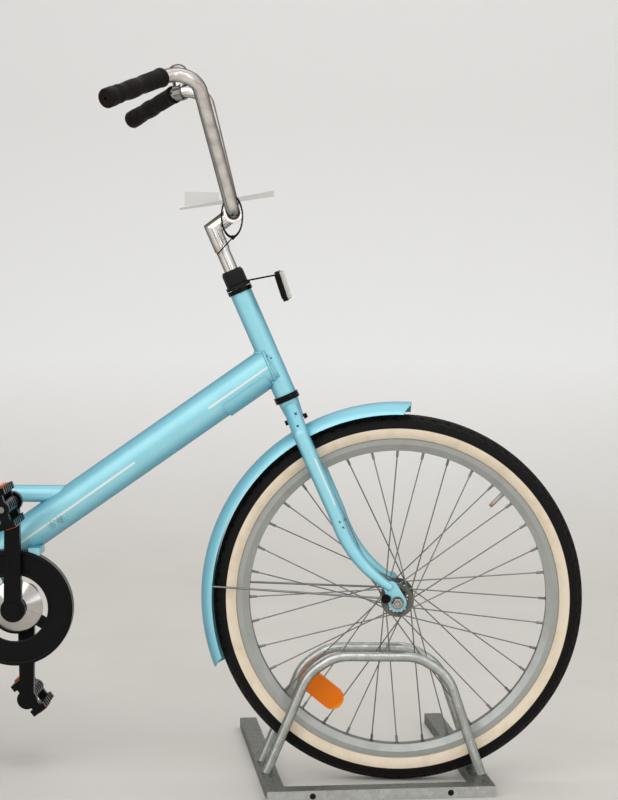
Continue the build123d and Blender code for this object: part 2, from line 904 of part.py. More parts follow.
def make_frame():
    """Brazed frame: head tube, large main tube, brace, seat tube, stays and end plates."""
    head = disc(steer_plane(head_bottom_t), head_tube_diameter, head_tube_length)
    joint = on_steer(main_tube_head_t)
    main_length = main_tube_reach(joint)
    main = rod(joint, joint + main_back * main_length, main_tube_diameter)
    seat = rod(bracket_at, on_seat(seat_tube_length), seat_tube_diameter)
    shell = disc(side_plane(bracket_at, -shell_half_width), shell_diameter, shell_half_width * 2)
    brace_front = main_tube_point(joint, brace_height)
    brace_back = on_seat((brace_height - bracket_height) / seat_up.Z)
    brace = rod(brace_back, brace_front, brace_diameter)
    body = head + main + make_gusset(joint) + seat + shell + brace + guard_tab()
    for side in (right, left):
        body += make_chain_stay(side) + make_seat_stay(side) + make_rear_dropout(side)
    body += make_bridges()
    return body - frame_bores()


def make_gusset(joint):
    """Half sleeve welded round the lower side of the main tube, behind the head tube."""
    start = joint + main_back * gusset_start
    sleeve = rod(start, start + main_back * gusset_length, main_tube_diameter + gusset_wall * 2)
    downward = Vector(-main_back.Z, 0, main_back.X)
    size = gusset_length + main_tube_diameter
    lower = Plane(origin=start + downward * gusset_edge_drop, x_dir=main_back, z_dir=downward)
    return sleeve & extrude(lower * Rectangle(size * 2, size), amount=size)


def main_tube_reach(joint):
    """Length of the main tube from the head axis to the seat tube's axis."""
    across = bracket_at - joint
    spread = seat_up.cross(main_back).Y
    return seat_up.cross(across).Y / spread


def main_tube_point(joint, height):
    """Point on the main tube's axis at a height."""
    return joint + main_back * ((joint.Z - height) / -main_back.Z)


def guard_outline():
    """Outline of the chain guard seen from the right: a disc and a tail over the chain."""
    front = Circle(guard_disc_radius)
    tail = Pos(-guard_tail_setback, guard_tail_rise) * Circle(guard_tail_radius)
    return make_hull(front.edges() + tail.edges())


def guard_tab():
    """Small tab under the main tube that the chain guard's rim hangs from."""
    rise = (guard_disc_radius ** 2 - guard_tab_ahead ** 2) ** (1 / 2)
    centre = bracket_at + Vector(guard_tab_ahead, -guard_face_offset / 2, rise)
    tab = Pos(centre) * Box(guard_tab_width, guard_face_offset, guard_tab_width)
    return tab - extrude(side_plane(bracket_at) * guard_outline(), amount=guard_face_offset * 2)


def make_chain_stay(side):
    """Chain stay that bends out beside the tyre."""
    reach = Vector(-chain_stay_end_run, 0, 0)
    root = bracket_at + Vector(0, side * chain_stay_root_half, 0)
    rise = (axle_height - bracket_height) * chain_stay_mid_run / (wheelbase - bracket_setback)
    middle = bracket_at + Vector(-chain_stay_mid_run, side * chain_stay_mid_half, rise)
    half = rear_dropout_half_gap + dropout_thickness / 2
    end = bracket_at + reach + Vector(0, side * half, axle_height - bracket_height)
    return bent_tube([root, middle, end], chain_stay_diameter, stay_bend_radius)


def rear_plate_top():
    """Point of the rear end plate where the seat stay lands."""
    top = on_seat(seat_stay_root_s)
    run = (top - rear_axle_at).normalized()
    return rear_axle_at + run * (rear_dropout_radius * 2)


def make_seat_stay(side):
    """Seat stay that bends out beside the tyre and lands on the end plate."""
    root = on_seat(seat_stay_root_s, 0, side * seat_stay_root_half)
    half = rear_dropout_half_gap + dropout_thickness / 2
    end = rear_plate_top() + Vector(0, side * half, 0)
    run = (end - root).normalized()
    middle = root + Vector(run.X, 0, run.Z) * seat_stay_mid_run
    middle = Vector(middle.X, side * seat_stay_mid_half, middle.Z)
    return bent_tube([root, middle, end], seat_stay_diameter, stay_bend_radius)


def make_rear_dropout(side):
    """Rear end plate with an axle slot open to the back."""
    spots = [
        (rear_axle_at, rear_dropout_radius),
        (Vector(-bracket_setback - chain_stay_end_run, 0, axle_height), chain_stay_diameter / 2),
        (rear_plate_top(), seat_stay_diameter / 2),
    ]
    circles = [Pos(side_x(spot, side), spot.Z) * Circle(radius) for spot, radius in spots]
    outline = make_hull(circles[0].edges() + circles[1].edges() + circles[2].edges())
    flat = Plane(origin=(0, side * rear_dropout_half_gap, 0), x_dir=(-side, 0, 0), z_dir=(0, side, 0))
    return extrude(flat * outline, amount=dropout_thickness)


def side_x(spot, side):
    """Ahead distance of a spot in a sketch that faces one side."""
    return -spot.X * side


def make_bridges():
    """Cross bars between the chain stays and between the seat stays."""
    low = bracket_at + Vector(-bridge_setback, 0, 0)
    half = chain_stay_root_half + chain_stay_diameter / 2
    run = (rear_plate_top() - on_seat(seat_stay_root_s)).normalized()
    high = on_seat(seat_stay_root_s) + run * (seat_stay_mid_run - bridge_diameter)
    pieces = None
    for centre in (low, high):
        bar = rod(centre - Vector(0, half, 0), centre + Vector(0, half, 0), bridge_diameter)
        pieces = bar if pieces is None else pieces + bar
    return pieces


def frame_bores():
    """Bores of the head tube, bottom bracket, seat tube and the rear axle slots."""
    head = disc(steer_plane(head_bottom_t - overrun), head_tube_bore, head_tube_length + overrun * 2)
    shell = disc(side_plane(bracket_at, -shell_half_width - overrun), cup_outer_diameter - overrun,
                 (shell_half_width + overrun) * 2)
    post = rod(on_seat(seat_post_bottom - overrun), on_seat(seat_tube_length + overrun), seat_post_diameter)
    slot = slot_cutter()
    return head + shell + post + slot


def slot_cutter():
    """Axle slots through both rear end plates, open to the back."""
    hole = disc(side_plane(rear_axle_at, -wheel_radius), axle_diameter, wheel_radius * 2)
    length = dropout_slot_length
    centre = rear_axle_at - Vector(length / 2, 0, 0)
    return hole + Pos(centre) * Box(length, wheel_radius * 2, axle_diameter)


def make_headset_cups():
    """Cups pressed on both ends of the head tube."""
    bore = steerer_diameter + running_clearance * 2
    lower_t = head_bottom_t - lower_cup_height
    lower = disc(steer_plane(lower_t), cup_diameter, lower_cup_height, bore)
    upper = disc(steer_plane(head_top_t), cup_diameter, upper_cup_height, bore)
    return Compound(children=[lower, upper])


def make_bottom_cups():
    """Bearing cups outside the bottom bracket shell, with a running bore."""
    bore = spindle_diameter + running_clearance * 2
    pieces = []
    for side in (right, left):
        plane = facing_plane(bracket_at, side, shell_half_width)
        pieces.append(disc(plane, cup_outer_diameter, bb_cup_depth, bore))
    return Compound(children=pieces)


def make_crank(side, turn_sense):
    """Crank arm, slimmer than its root boss and its pedal eye."""
    inner = crank_inner_right if side == right else crank_inner_left
    tip = Pos(0, turn_sense * crank_length)
    slim_tip = tip * Circle(crank_arm_tip_radius)
    arm = make_hull(Circle(crank_arm_root_radius).edges() + slim_tip.edges())
    arm += Circle(crank_root_radius) + tip * Circle(crank_eye_radius)
    body = extrude(plane_upright(side, inner) * arm, amount=crank_thickness)
    cap_plane = facing_plane(bracket_at, side, inner + crank_thickness)
    return body + disc(cap_plane, crank_cap_radius * 2, crank_cap_height)


def plane_upright(side, offset):
    """Plane at the bottom bracket facing one side, its y pointing up."""
    origin = bracket_at + Vector(0, side * offset, 0)
    return Plane(origin=origin, x_dir=(-side, 0, 0), z_dir=(0, side, 0))


def toothed_disc(pitch_radius, teeth):
    """Flat toothed ring outline: a root circle with one tapered tooth per link."""
    root = pitch_radius - tooth_height
    tip = pitch_radius + tooth_height
    half = chain_pitch / 4
    tooth = Polygon((root - tooth_height, -half), (tip, -half / 3), (tip, half / 3),
                    (root - tooth_height, half), align=None)
    face = Circle(root)
    for index in range(teeth):
        face += Rot(0, 0, 360 * index / teeth) * tooth
    return face


def make_chainring():
    """Chainring with three spokes between its hub and its toothed rim."""
    window_inner = crank_root_radius + crank_cap_radius
    window_outer = chainring_radius - tooth_height * 4
    face = toothed_disc(chainring_radius, chainring_teeth)
    ring = Circle(window_outer) - Circle(window_inner)
    for index in range(ring_arms):
        angle = 360 * index / ring_arms + 90
        ring -= Rot(0, 0, angle) * (Pos(window_outer / 2, 0) * Rectangle(window_outer, crank_root_radius))
    face = face - ring - Circle(spindle_diameter / 2)
    plane = side_plane(bracket_at, chain_line - tooth_thickness / 2)
    return extrude(plane * face, amount=tooth_thickness)


def make_crank_cover():
    """Shallow chromed dome between the chainring and the crank, with three raised arms."""
    raised = cover_shell(cover_relief) & extrude(cover_arms(), amount=cover_height + cover_relief)
    place = side_plane(bracket_at, chain_line + tooth_thickness / 2)
    return place.location * (cover_shell(0) + raised)


def cover_shell(lift):
    """The cover's body of revolution, its slope lifted by a height."""
    bore = spindle_diameter / 2
    outline = [
        (bore, 0),
        (cover_radius, 0),
        (cover_radius, cover_wall + lift),
        (crank_root_radius, cover_height + lift),
        (bore, cover_height + lift),
    ]
    return lathe(outline)


def cover_arms():
    """Three arms that spread from the cover's middle, between two rings."""
    arm = Pos(cover_radius / 2, 0) * Rectangle(cover_radius, cover_arm_width)
    edge = cover_radius - cover_wall * 2
    face = Circle(cover_arm_inner)
    for index in range(ring_arms):
        face += Rot(0, 0, 360 * index / ring_arms + 90) * arm
    return (face & Circle(edge)) - Circle(cover_arm_inner)


def make_spindle():
    """Spindle through the bottom bracket, between the two cranks."""
    plane = side_plane(bracket_at, -crank_inner_left)
    return disc(plane, spindle_diameter, crank_inner_left + crank_inner_right)


def pedal_centre(side):
    """Middle of a pedal: the right one stands up and the left one hangs down."""
    inner = crank_inner_right if side == right else crank_inner_left
    offset = inner + crank_thickness + pedal_gap + pedal_length / 2
    height = crank_length if side == right else -crank_length
    return bracket_at + Vector(0, side * offset, height)


def make_pedal_axles():
    """Pedal pins that stand out of both crank eyes."""
    pieces = []
    for side in (right, left):
        inner = crank_inner_right if side == right else crank_inner_left
        centre = pedal_centre(side)
        plane = facing_plane(Vector(centre.X, 0, centre.Z), side, inner + crank_thickness)
        pieces.append(disc(plane, pedal_axle_diameter, pedal_axle_length))
    return Compound(children=pieces)


def make_pedal(side, tilt_deg):
    """Platform pedal: a barrel on the axle between two rails with notched treads."""
    body = Rot(90, 0, 0) * Cylinder(pedal_barrel_diameter / 2, pedal_length)
    rail = Box(pedal_rail, pedal_length, pedal_thickness)
    notch = Box(pedal_width * 2, pedal_notch_width, pedal_notch_depth * 2)
    pitch = pedal_length / (pedal_notches + 1)
    for sense in (-1, 1):
        body += Pos(sense * (pedal_width - pedal_rail) / 2, 0, 0) * rail
        end = sense * (pedal_length - pedal_rail) / 2
        body += Pos(0, end, 0) * Box(pedal_width, pedal_rail, pedal_thickness - pedal_rail)
        for index in range(pedal_notches):
            along = pitch * (index + 1) - pedal_length / 2
            body -= Pos(0, along, sense * pedal_thickness / 2) * notch
    bore_radius = pedal_axle_diameter / 2 + running_clearance
    body -= Rot(90, 0, 0) * Cylinder(bore_radius, pedal_length + overrun)
    return Pos(pedal_centre(side)) * Rot(0, tilt_deg, 0) * body


def make_pedal_reflectors(side, tilt_deg):
    """Reflector on the front and the back edge of a pedal."""
    pieces = []
    for sense in (-1, 1):
        offset = sense * (pedal_width / 2 + pedal_reflector_depth / 2)
        block = Box(pedal_reflector_depth, pedal_reflector_length, pedal_reflector_height)
        pieces.append(Pos(pedal_centre(side)) * Rot(0, tilt_deg, 0) * Pos(offset, 0, 0) * block)
    return Compound(children=pieces)


def chain_loop(offset):
    """Filled outline of the chain at an offset from its pitch line, one chord to each tooth."""
    front = RegularPolygon(chainring_radius + offset, chainring_teeth)
    sprocket_at = (-(wheelbase - bracket_setback), axle_height - bracket_height)
    back = Pos(*sprocket_at) * RegularPolygon(sprocket_radius + offset, sprocket_teeth)
    return make_hull(front.edges() + back.edges())


def make_chain():
    """Closed chain: two rows of side plates with rollers between them on the free runs."""
    band = chain_loop(plate_height / 2) - chain_loop(-plate_height / 2)
    pieces = None
    for offset in (chain_half_gap, -chain_half_gap - plate_thickness):
        plane = side_plane(bracket_at, chain_line + offset)
        plate = extrude(plane * band, amount=plate_thickness)
        pieces = plate if pieces is None else pieces + plate
    plane = side_plane(bracket_at, chain_line - chain_half_gap)
    for spot in roller_spots():
        roller = Pos(*spot) * RegularPolygon(roller_width / 2, roller_sides)
        pieces += extrude(plane * roller, amount=chain_half_gap * 2)
    return pieces


def roller_spots():
    """Roller centres on the upper and lower free runs of the chain."""
    run_x = -(wheelbase - bracket_setback)
    run_y = axle_height - bracket_height
    distance = hypot(run_x, run_y)
    slope = asin((chainring_radius - sprocket_radius) / distance)
    heading = atan2(run_y, run_x)
    length = distance * cos(slope)
    count = int((length - roller_clear * 2) / chain_pitch)
    spots = []
    for sense in (-1, 1):
        normal = heading + sense * (radians(90) - slope)
        start_x = chainring_radius * cos(normal)
        start_y = chainring_radius * sin(normal)
        along = heading - sense * slope
        for index in range(count + 1):
            reach = roller_clear + chain_pitch * index
            spots.append((start_x + reach * cos(along), start_y + reach * sin(along)))
    return spots


def make_chain_guard():
    """Chain guard: a round front with a hole for the cranks and a tail over the upper run."""
    outline = guard_outline()
    plane = side_plane(bracket_at, guard_face_offset)
    face = extrude(plane * (outline - Circle(guard_disc_hole)), amount=guard_skin)
    wall_plane = side_plane(bracket_at, guard_face_offset - guard_rim_depth)
    wall = extrude(wall_plane * (outline - offset(outline, -guard_skin)), amount=guard_rim_depth)
    below = Pos(-guard_tail_setback / 2 - guard_disc_radius, -guard_disc_radius / 2)
    opening = below * Rectangle(guard_tail_setback, guard_disc_radius * 2)
    reach = plate_height / 2 + guard_chain_gap
    opening += chain_loop(reach) - chain_loop(-reach)
    wall -= extrude(wall_plane * opening, amount=guard_rim_depth)
    return face + wall


def make_saddle_cover():
    """Padded saddle: wide at the back, narrowing to a rounded nose, its edge drawn over."""
    base = saddle_base_plane()
    tail = saddle_width / 4
    nose_at = (saddle_length - saddle_nose_width) / 2
    tail_at = -saddle_length * saddle_tail_share
    circles = [
        Pos(nose_at, 0) * Circle(saddle_nose_width / 2),
        Pos(tail_at, tail) * Circle(tail),
        Pos(tail_at, -tail) * Circle(tail),
    ]
    outline = make_hull(circles[0].edges() + circles[1].edges() + circles[2].edges())
    block = extrude(base * outline, amount=saddle_height)
    top = block.faces().sort_by(Axis.Z)[-1]
    return fillet(top.edges(), saddle_edge_radius)


def saddle_base_plane():
    """Level plane under the saddle's cover."""
    top = on_seat(seat_post_top)
    origin = top + Vector(-saddle_length / 2 + saddle_ahead, 0, saddle_base_rise)
    return Plane(origin=origin, x_dir=(1, 0, 0), z_dir=(0, 0, 1))


def make_saddle_frame():
    """Clamp on the seat post, two bent rails and the bar under the bumpers."""
    top = on_seat(seat_post_top)
    across = Vector(0, clamp_block_width / 2 + saddle_rail_diameter, 0)
    body = rod(top - across, top + across, bumper_diameter)
    base = saddle_base_plane().origin
    tail = Vector(saddle_tail_x(), 0, top.Z)
    nose_x = base.X + saddle_length / 2 - saddle_nose_width
    for side in (right, left):
        spread = Vector(0, side * saddle_rail_half, 0)
        nose = Vector(nose_x, 0, base.Z) + spread / 2
        body += bent_tube([nose, top + spread, tail + spread], saddle_rail_diameter, saddle_rail_half)
    half_bar = Vector(0, saddle_width / 4 + bumper_diameter / 2, 0)
    body += rod(tail - half_bar, tail + half_bar, saddle_bar_diameter)
    post_room = rod(on_seat(seat_post_bottom), top, seat_post_diameter)
    above = saddle_base_plane() * Rectangle(saddle_length * 2, saddle_width * 2)
    ceiling = extrude(above, amount=saddle_height)
    return body - post_room - ceiling


def saddle_tail_x():
    """Ahead distance of the saddle's bumpers."""
    return saddle_base_plane().origin.X - saddle_length * saddle_tail_share


def make_saddle_springs():
    """Two ribbed rubber bumpers between the rear bar and the cover."""
    low = on_seat(seat_post_top).Z + saddle_bar_diameter / 2
    height = saddle_base_plane().origin.Z - low
    outer = bumper_diameter / 2
    inner = outer - bumper_groove
    pitch = height / (bumper_ribs * 2)
    outline = [(0, 0)]
    for index in range(bumper_ribs):
        step = pitch * index * 2
        outline += [(inner, step), (outer, step + pitch / 2)]
        outline += [(outer, step + pitch), (inner, step + pitch * 2)]
    outline.append((0, height))
    bumper = lathe(outline)
    spots = [Vector(saddle_tail_x(), side * saddle_width / 4, low) for side in (right, left)]
    return Compound(children=[Pos(spot) * bumper for spot in spots])


def make_carrier():
    """Luggage carrier: two rails bent down to the seat tube, rungs, legs and an end plate."""
    half = carrier_half_width
    plate_x = -carrier_back_setback + carrier_plate_thickness / 2
    plate_width = half * 2 + carrier_rod_diameter * 2
    body = Pos(plate_x, 0, carrier_height) * Box(carrier_plate_thickness, plate_width, carrier_plate_height)
    for x in rung_spots():
        low = Vector(x, -half, carrier_height)
        body += rod(low, low + Vector(0, half * 2, 0), carrier_rung_diameter)
    strut_half = seat_stay_root_half + (seat_stay_diameter + carrier_rod_diameter) / 2 + seat_gap
    for side in (right, left):
        front = Vector(-carrier_front_setback, side * half, carrier_height)
        back = Vector(plate_x, side * half, carrier_height)
        foot = Vector(-carrier_leg_setback, side * carrier_foot_half, axle_height + carrier_foot_rise)
        knee = Vector(-carrier_leg_setback, side * half, carrier_height)
        anchor = on_seat(seat_stay_root_s, 0, side * strut_half)
        body += bent_tube([back, front, anchor], carrier_rod_diameter, stay_bend_radius / 2)
        body += rod(foot, knee, carrier_rung_diameter)
    return body


def rung_spots():
    """Ahead distances of the carrier's rungs."""
    start = -carrier_back_setback + carrier_rod_diameter * 2
    span = carrier_back_setback - carrier_front_setback - stay_bend_radius
    return [start + span * index / (carrier_rungs - 1) for index in range(carrier_rungs)]


def make_rear_reflector():
    """Red reflector on the back of the carrier."""
    centre = Vector(-carrier_back_setback, 0, carrier_height)
    plane = Plane(origin=centre, x_dir=(0, 1, 0), z_dir=(-1, 0, 0))
    face = RectangleRounded(rear_reflector_width, rear_reflector_height, rear_reflector_corner_radius)
    return extrude(plane * face, amount=rear_reflector_thickness)


def stand_plane():
    """Pivot of the kickstand: z along its pin, x to the back, leaning out to the left."""
    tilt = radians(stand_tilt_deg)
    origin = Vector(-stand_pivot_setback, stand_pivot_half, stand_pivot_height)
    return Plane(origin=origin, x_dir=(-1, 0, 0), z_dir=(0, cos(tilt), sin(tilt)))


def make_kickstand():
    """Leg folded back along the stay, with a rubber foot, and the pin it turns on."""
    plane = stand_plane()
    eye = Pos(0, 0, -stand_diameter / 2) * extrude(Circle(stand_diameter), amount=stand_diameter)
    leg = Rot(0, 90, 0) * Pos(0, 0, stand_length / 2) * Cylinder(stand_diameter / 2, stand_length)
    pin = Cylinder(stand_pin_diameter / 2 + running_clearance, stand_diameter + overrun)
    foot_centre = stand_length - stand_foot_length / 2
    foot = Rot(0, 90, 0) * Pos(0, 0, foot_centre) * Cylinder(stand_foot_diameter / 2, stand_foot_length)
    bore = Rot(0, 90, 0) * Pos(0, 0, stand_length / 2) * Cylinder(stand_diameter / 2, stand_length)
    return plane.location * (eye + leg - pin), plane.location * (foot - bore)


def make_stand_bracket():
    """Clamp on the left chain stay with the kickstand's pin."""
    plane = stand_plane()
    inner = -stand_diameter / 2 - seat_gap
    pin_length = stand_diameter + seat_gap * 2 + overrun
    pin = Pos(0, 0, inner) * extrude(Circle(stand_pin_diameter / 2), amount=pin_length)
    head = Pos(0, 0, inner + pin_length - overrun) * extrude(Circle(stand_pin_diameter), amount=overrun)
    plate = Pos(0, 0, inner - dropout_thickness) * extrude(Circle(stand_diameter), amount=dropout_thickness)
    body = plane.location * (pin + head + plate)
    half = rear_dropout_half_gap + dropout_thickness / 2
    stay = Vector(-stand_pivot_setback, half, axle_height)
    low = plane.origin + plane.z_dir * (inner - dropout_thickness / 2)
    room = plane.location * (Pos(0, 0, inner) * extrude(Circle(stand_length), amount=stand_length))
    strut = rod(low, stay, stand_diameter) - room
    return body + strut - make_chain_stay(left) - make_rear_dropout(left)


def base_plane():
    """Rack's base corner, turned in plan as it stands in the photo."""
    turn = radians(base_turn_deg)
    return Plane(origin=(base_corner_x, base_corner_y, 0), x_dir=(cos(turn), sin(turn), 0), z_dir=(0, 0, 1))


def make_rack_base():
    """Cross channel in front and two channel arms behind it, all open below."""
    pieces = None
    beams = [
        (0, 0, base_width, channel_depth),
        (0, channel_depth, base_arm_width, base_arm_length - channel_depth),
        (base_width - base_arm_width, channel_depth, base_arm_width, base_arm_length - channel_depth),
    ]
    for x, y, width, depth in beams:
        outer = Pos(x + width / 2, y + depth / 2, base_height / 2) * Box(width, depth, base_height)
        along_x = width > depth
        inner_width = width - base_wall * 2 if not along_x else width
        inner_depth = depth - base_wall * 2 if along_x else depth
        inner = Pos(x + width / 2, y + depth / 2, base_height / 2 - base_wall)
        beam = outer - inner * Box(inner_width, inner_depth, base_height)
        pieces = beam if pieces is None else pieces + beam
    for share in rack_hole_inset_ends():
        hole = Pos(share, 0, base_height / 2) * (Rot(90, 0, 0) * Cylinder(
            rack_bolt_hole_diameter / 2, channel_depth))
        pieces -= hole
    return base_plane().location * pieces


def rack_hole_inset_ends():
    """Places of the two bolt holes along the cross channel."""
    return rack_bolt_hole_inset, base_width - rack_bolt_hole_inset


def make_hoop(side):
    """One hoop: two splayed legs and a level top, bent from one tube."""
    drift = -side * hoop_half_gap * tan(radians(base_turn_deg))
    top = base_height + hoop_rise - hoop_diameter / 2
    y = side * hoop_half_gap
    low = base_height
    slope_front = hoop_foot_front - hoop_shoulder_front
    points = [
        Vector(-hoop_foot_back + drift, y, low),
        Vector(-hoop_shoulder_back + drift, y, top - hoop_shoulder_drop),
        Vector(-hoop_top_back + drift, y, top),
        Vector(hoop_top_front + drift, y, top),
        Vector(hoop_shoulder_front + drift, y, top - hoop_shoulder_drop),
        Vector(hoop_shoulder_front + slope_front + drift, y, low),
    ]
    hoop = bent_tube(points, hoop_diameter, hoop_bend_radius)
    return hoop - Pos(0, 0, low / 2) * Box(base_arm_length * 2, base_arm_length * 2, low)


def build_front_end():
    """Write every piece of the body that the steering carries, with its rack."""
    save(make_rack_base(), "rack_base")
    save(Compound(children=[make_hoop(right), make_hoop(left)]), "rack_hoops")
    save(make_fork(), "fork")
    race = disc(steer_plane(race_bottom_t), cup_diameter, race_height, steerer_diameter)
    save(race, "headset_race")
    save(Compound(children=make_headset_nut()), "headset_nut")
    save(make_reflector_bracket(), "reflector_bracket")
    back, lens = make_front_reflector()
    save(back, "front_reflector")
    save(lens, "front_reflector_lens")
    save(turned_bar(make_stem()), "stem")
    save(turned_bar(make_handlebar()), "handlebar")
    save(turned_bar(make_grip(right)), "grip_right")
    save(turned_bar(make_grip(left)), "grip_left")
    save(turned_bar(make_bell()), "bell")
    save(make_axle(front_axle_at, front_dropout_half_gap, hub_half_length + seat_gap), "front_axle")
    guard = make_mudguard(front_axle_at, front_guard_start_deg, front_guard_end_deg)
    save(guard, "front_mudguard")
    spot = Vector(-dropout_radius, 0, dropout_radius / 2)
    stays = make_stays(front_axle_at, front_dropout_half_gap, front_stay_angle_deg, spot)
    save(Compound(children=stays), "front_mudguard_stays")


def build_frame():
    """Write every piece fixed to the frame."""
    save(make_frame(), "frame")
    save(make_headset_cups(), "headset_cups")
    save(make_bottom_cups(), "bottom_bracket_cups")
    save(rod(on_seat(seat_post_bottom), on_seat(seat_post_top), seat_post_diameter), "seat_post")
    clamp = rod(on_seat(seat_tube_length), on_seat(seat_tube_length + stand_diameter),
                seat_tube_diameter + dropout_thickness)
    clamp -= rod(on_seat(seat_post_bottom), on_seat(seat_post_top), seat_post_diameter)
    save(clamp, "seat_clamp")
    save(make_saddle_frame(), "saddle_frame")
    save(make_saddle_springs(), "saddle_springs")
    save(make_saddle_cover(), "saddle_cover")
    save(make_chain_guard(), "chain_guard")
    save(make_chain(), "chain")
    locknut_from = rear_dropout_half_gap - washer_thickness
    save(make_axle(rear_axle_at, rear_dropout_half_gap, locknut_from), "rear_axle")
    save(make_coaster_arm(), "coaster_arm")
    save(make_mudguard(rear_axle_at, rear_guard_start_deg, rear_guard_end_deg), "rear_mudguard")
    spot = Vector(-rear_dropout_radius / 2, 0, rear_dropout_radius * stay_eye_rise_share)
    stays = make_stays(rear_axle_at, rear_dropout_half_gap, rear_stay_angle_deg, spot)
    save(Compound(children=stays), "rear_mudguard_stays")
    save(make_carrier(), "carrier")
    save(make_rear_reflector(), "rear_reflector")
    save(make_stand_bracket(), "kickstand_bracket")


def build_drive():
    """Write the crankset, the pedals, the sprocket and the kickstand."""
    save(make_crank(right, 1), "crank_right")
    save(make_crank(left, -1), "crank_left")
    save(make_spindle(), "crank_spindle")
    save(make_chainring(), "chainring")
    save(make_crank_cover(), "crank_cover")
    save(make_pedal_axles(), "pedal_axles")
    for side, word, tilt in ((right, "right", near_pedal_tilt_deg), (left, "left", far_pedal_tilt_deg)):
        save(make_pedal(side, tilt), f"pedal_{word}")
        save(make_pedal_reflectors(side, tilt), f"pedal_{word}_reflectors")
    face = toothed_disc(sprocket_radius, sprocket_teeth) - Circle(rear_barrel_radius - flange_thickness)
    plane = side_plane(rear_axle_at, chain_line - tooth_thickness / 2)
    save(extrude(plane * face, amount=tooth_thickness), "rear_sprocket")
    leg, foot = make_kickstand()
    save(leg, "kickstand_leg")
    save(foot, "kickstand_foot")


def main():
    """Write all pieces."""
    os.makedirs("parts", exist_ok=True)
    front_spokes = make_spokes(flange_half_gap, spoke_circle_radius)
    rear_spokes = make_spokes(rear_flange_half_gap, rear_spoke_circle_radius)
    build_wheel("front", front_axle_at, make_front_hub(), front_spokes)
    build_wheel("rear", rear_axle_at, make_rear_hub(), rear_spokes)
    build_front_end()
    build_frame()
    build_drive()


main()
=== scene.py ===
"""Looks of a kids bicycle that stands in a floor rack, dressed over its fixed frame.

Each sub-assembly of the bicycle is a class: it builds its own pieces and gives its
frame nodes their finishes. Lengths are in metres, +X ahead, +Y to the left, +Z up.
"""

import logging
import math
from dataclasses import dataclass
from enum import Enum
from typing import Any, ClassVar, Iterable

import bmesh
import bpy
from mathutils import Matrix, Vector

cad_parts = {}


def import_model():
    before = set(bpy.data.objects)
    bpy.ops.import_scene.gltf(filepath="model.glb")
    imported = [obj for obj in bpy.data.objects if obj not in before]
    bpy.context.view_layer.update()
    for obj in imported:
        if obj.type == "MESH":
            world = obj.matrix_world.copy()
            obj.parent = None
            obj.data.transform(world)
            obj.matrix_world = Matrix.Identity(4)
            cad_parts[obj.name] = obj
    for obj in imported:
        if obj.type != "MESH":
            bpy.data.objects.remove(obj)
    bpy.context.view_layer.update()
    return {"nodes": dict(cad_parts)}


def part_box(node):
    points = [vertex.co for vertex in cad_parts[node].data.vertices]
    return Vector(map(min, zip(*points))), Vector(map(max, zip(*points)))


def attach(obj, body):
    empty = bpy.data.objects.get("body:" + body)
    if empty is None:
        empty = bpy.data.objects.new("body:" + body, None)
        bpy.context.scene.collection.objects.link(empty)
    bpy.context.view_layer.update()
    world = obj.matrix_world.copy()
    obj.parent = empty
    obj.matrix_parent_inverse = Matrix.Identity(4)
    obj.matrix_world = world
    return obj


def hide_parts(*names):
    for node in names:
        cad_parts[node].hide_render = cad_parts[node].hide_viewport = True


logging.basicConfig(level=logging.INFO, format="%(message)s")
log = logging.getLogger("bicycle")

MM = 0.001
FULL_TURN = math.tau

# Places and sizes that the bicycle's pieces share, in metres
WHEEL_RADIUS = 0.300
FRONT_AXLE = Vector((0.0, 0.0, WHEEL_RADIUS))
REAR_AXLE = Vector((-1.040, 0.0, WHEEL_RADIUS))
BRACKET = Vector((-0.617, 0.0, 0.289))
HEAD_ANGLE = math.radians(66.5)
STEER_UP = Vector((-math.cos(HEAD_ANGLE), 0.0, math.sin(HEAD_ANGLE)))
STEER_AHEAD = Vector((math.sin(HEAD_ANGLE), 0.0, math.cos(HEAD_ANGLE)))
RACE_BOTTOM = Vector((-0.1780, 0.0, 0.6215))
NUT_SEAT = 0.0552  # from the middle plane to the foot of the axle's nuts
STAY_BOLT = Vector((-0.0185, 0.0625, 0.3078))  # foot of the left stay's bolt
MAIN_TUBE_ANGLE = math.radians(35.0)
MAIN_TUBE_HEAD = Vector((-0.2040, 0.0, 0.6813))
MAIN_TUBE_RADIUS = 0.030
HEAD_TUBE_RADIUS = 0.018
SPOKES = 36
AHEAD = Vector((1.0, 0.0, 0.0))
TO_LEFT = Vector((0.0, 1.0, 0.0))
UP = Vector((0.0, 0.0, 1.0))
DULL_TINT = "#8A8682"  # of the light that metal mirrors at its edges


class Side(Enum):
    """The two sides of the bicycle, as the sign of Y."""

    RIGHT = -1
    LEFT = 1


def linear(code: str) -> tuple[float, float, float, float]:
    """Turns a colour as it is seen into the light values that a shader takes.

    Args:
        code: the colour as six hex digits, with or without a leading #.

    Returns:
        Red, green, blue and alpha as linear light.
    """
    digits = code.lstrip("#")
    seen = [int(digits[i:i + 2], 16) / 255 for i in (0, 2, 4)]
    light = [c / 12.92 if c <= 0.04045 else ((c + 0.055) / 1.055) ** 2.4 for c in seen]
    return (light[0], light[1], light[2], 1.0)


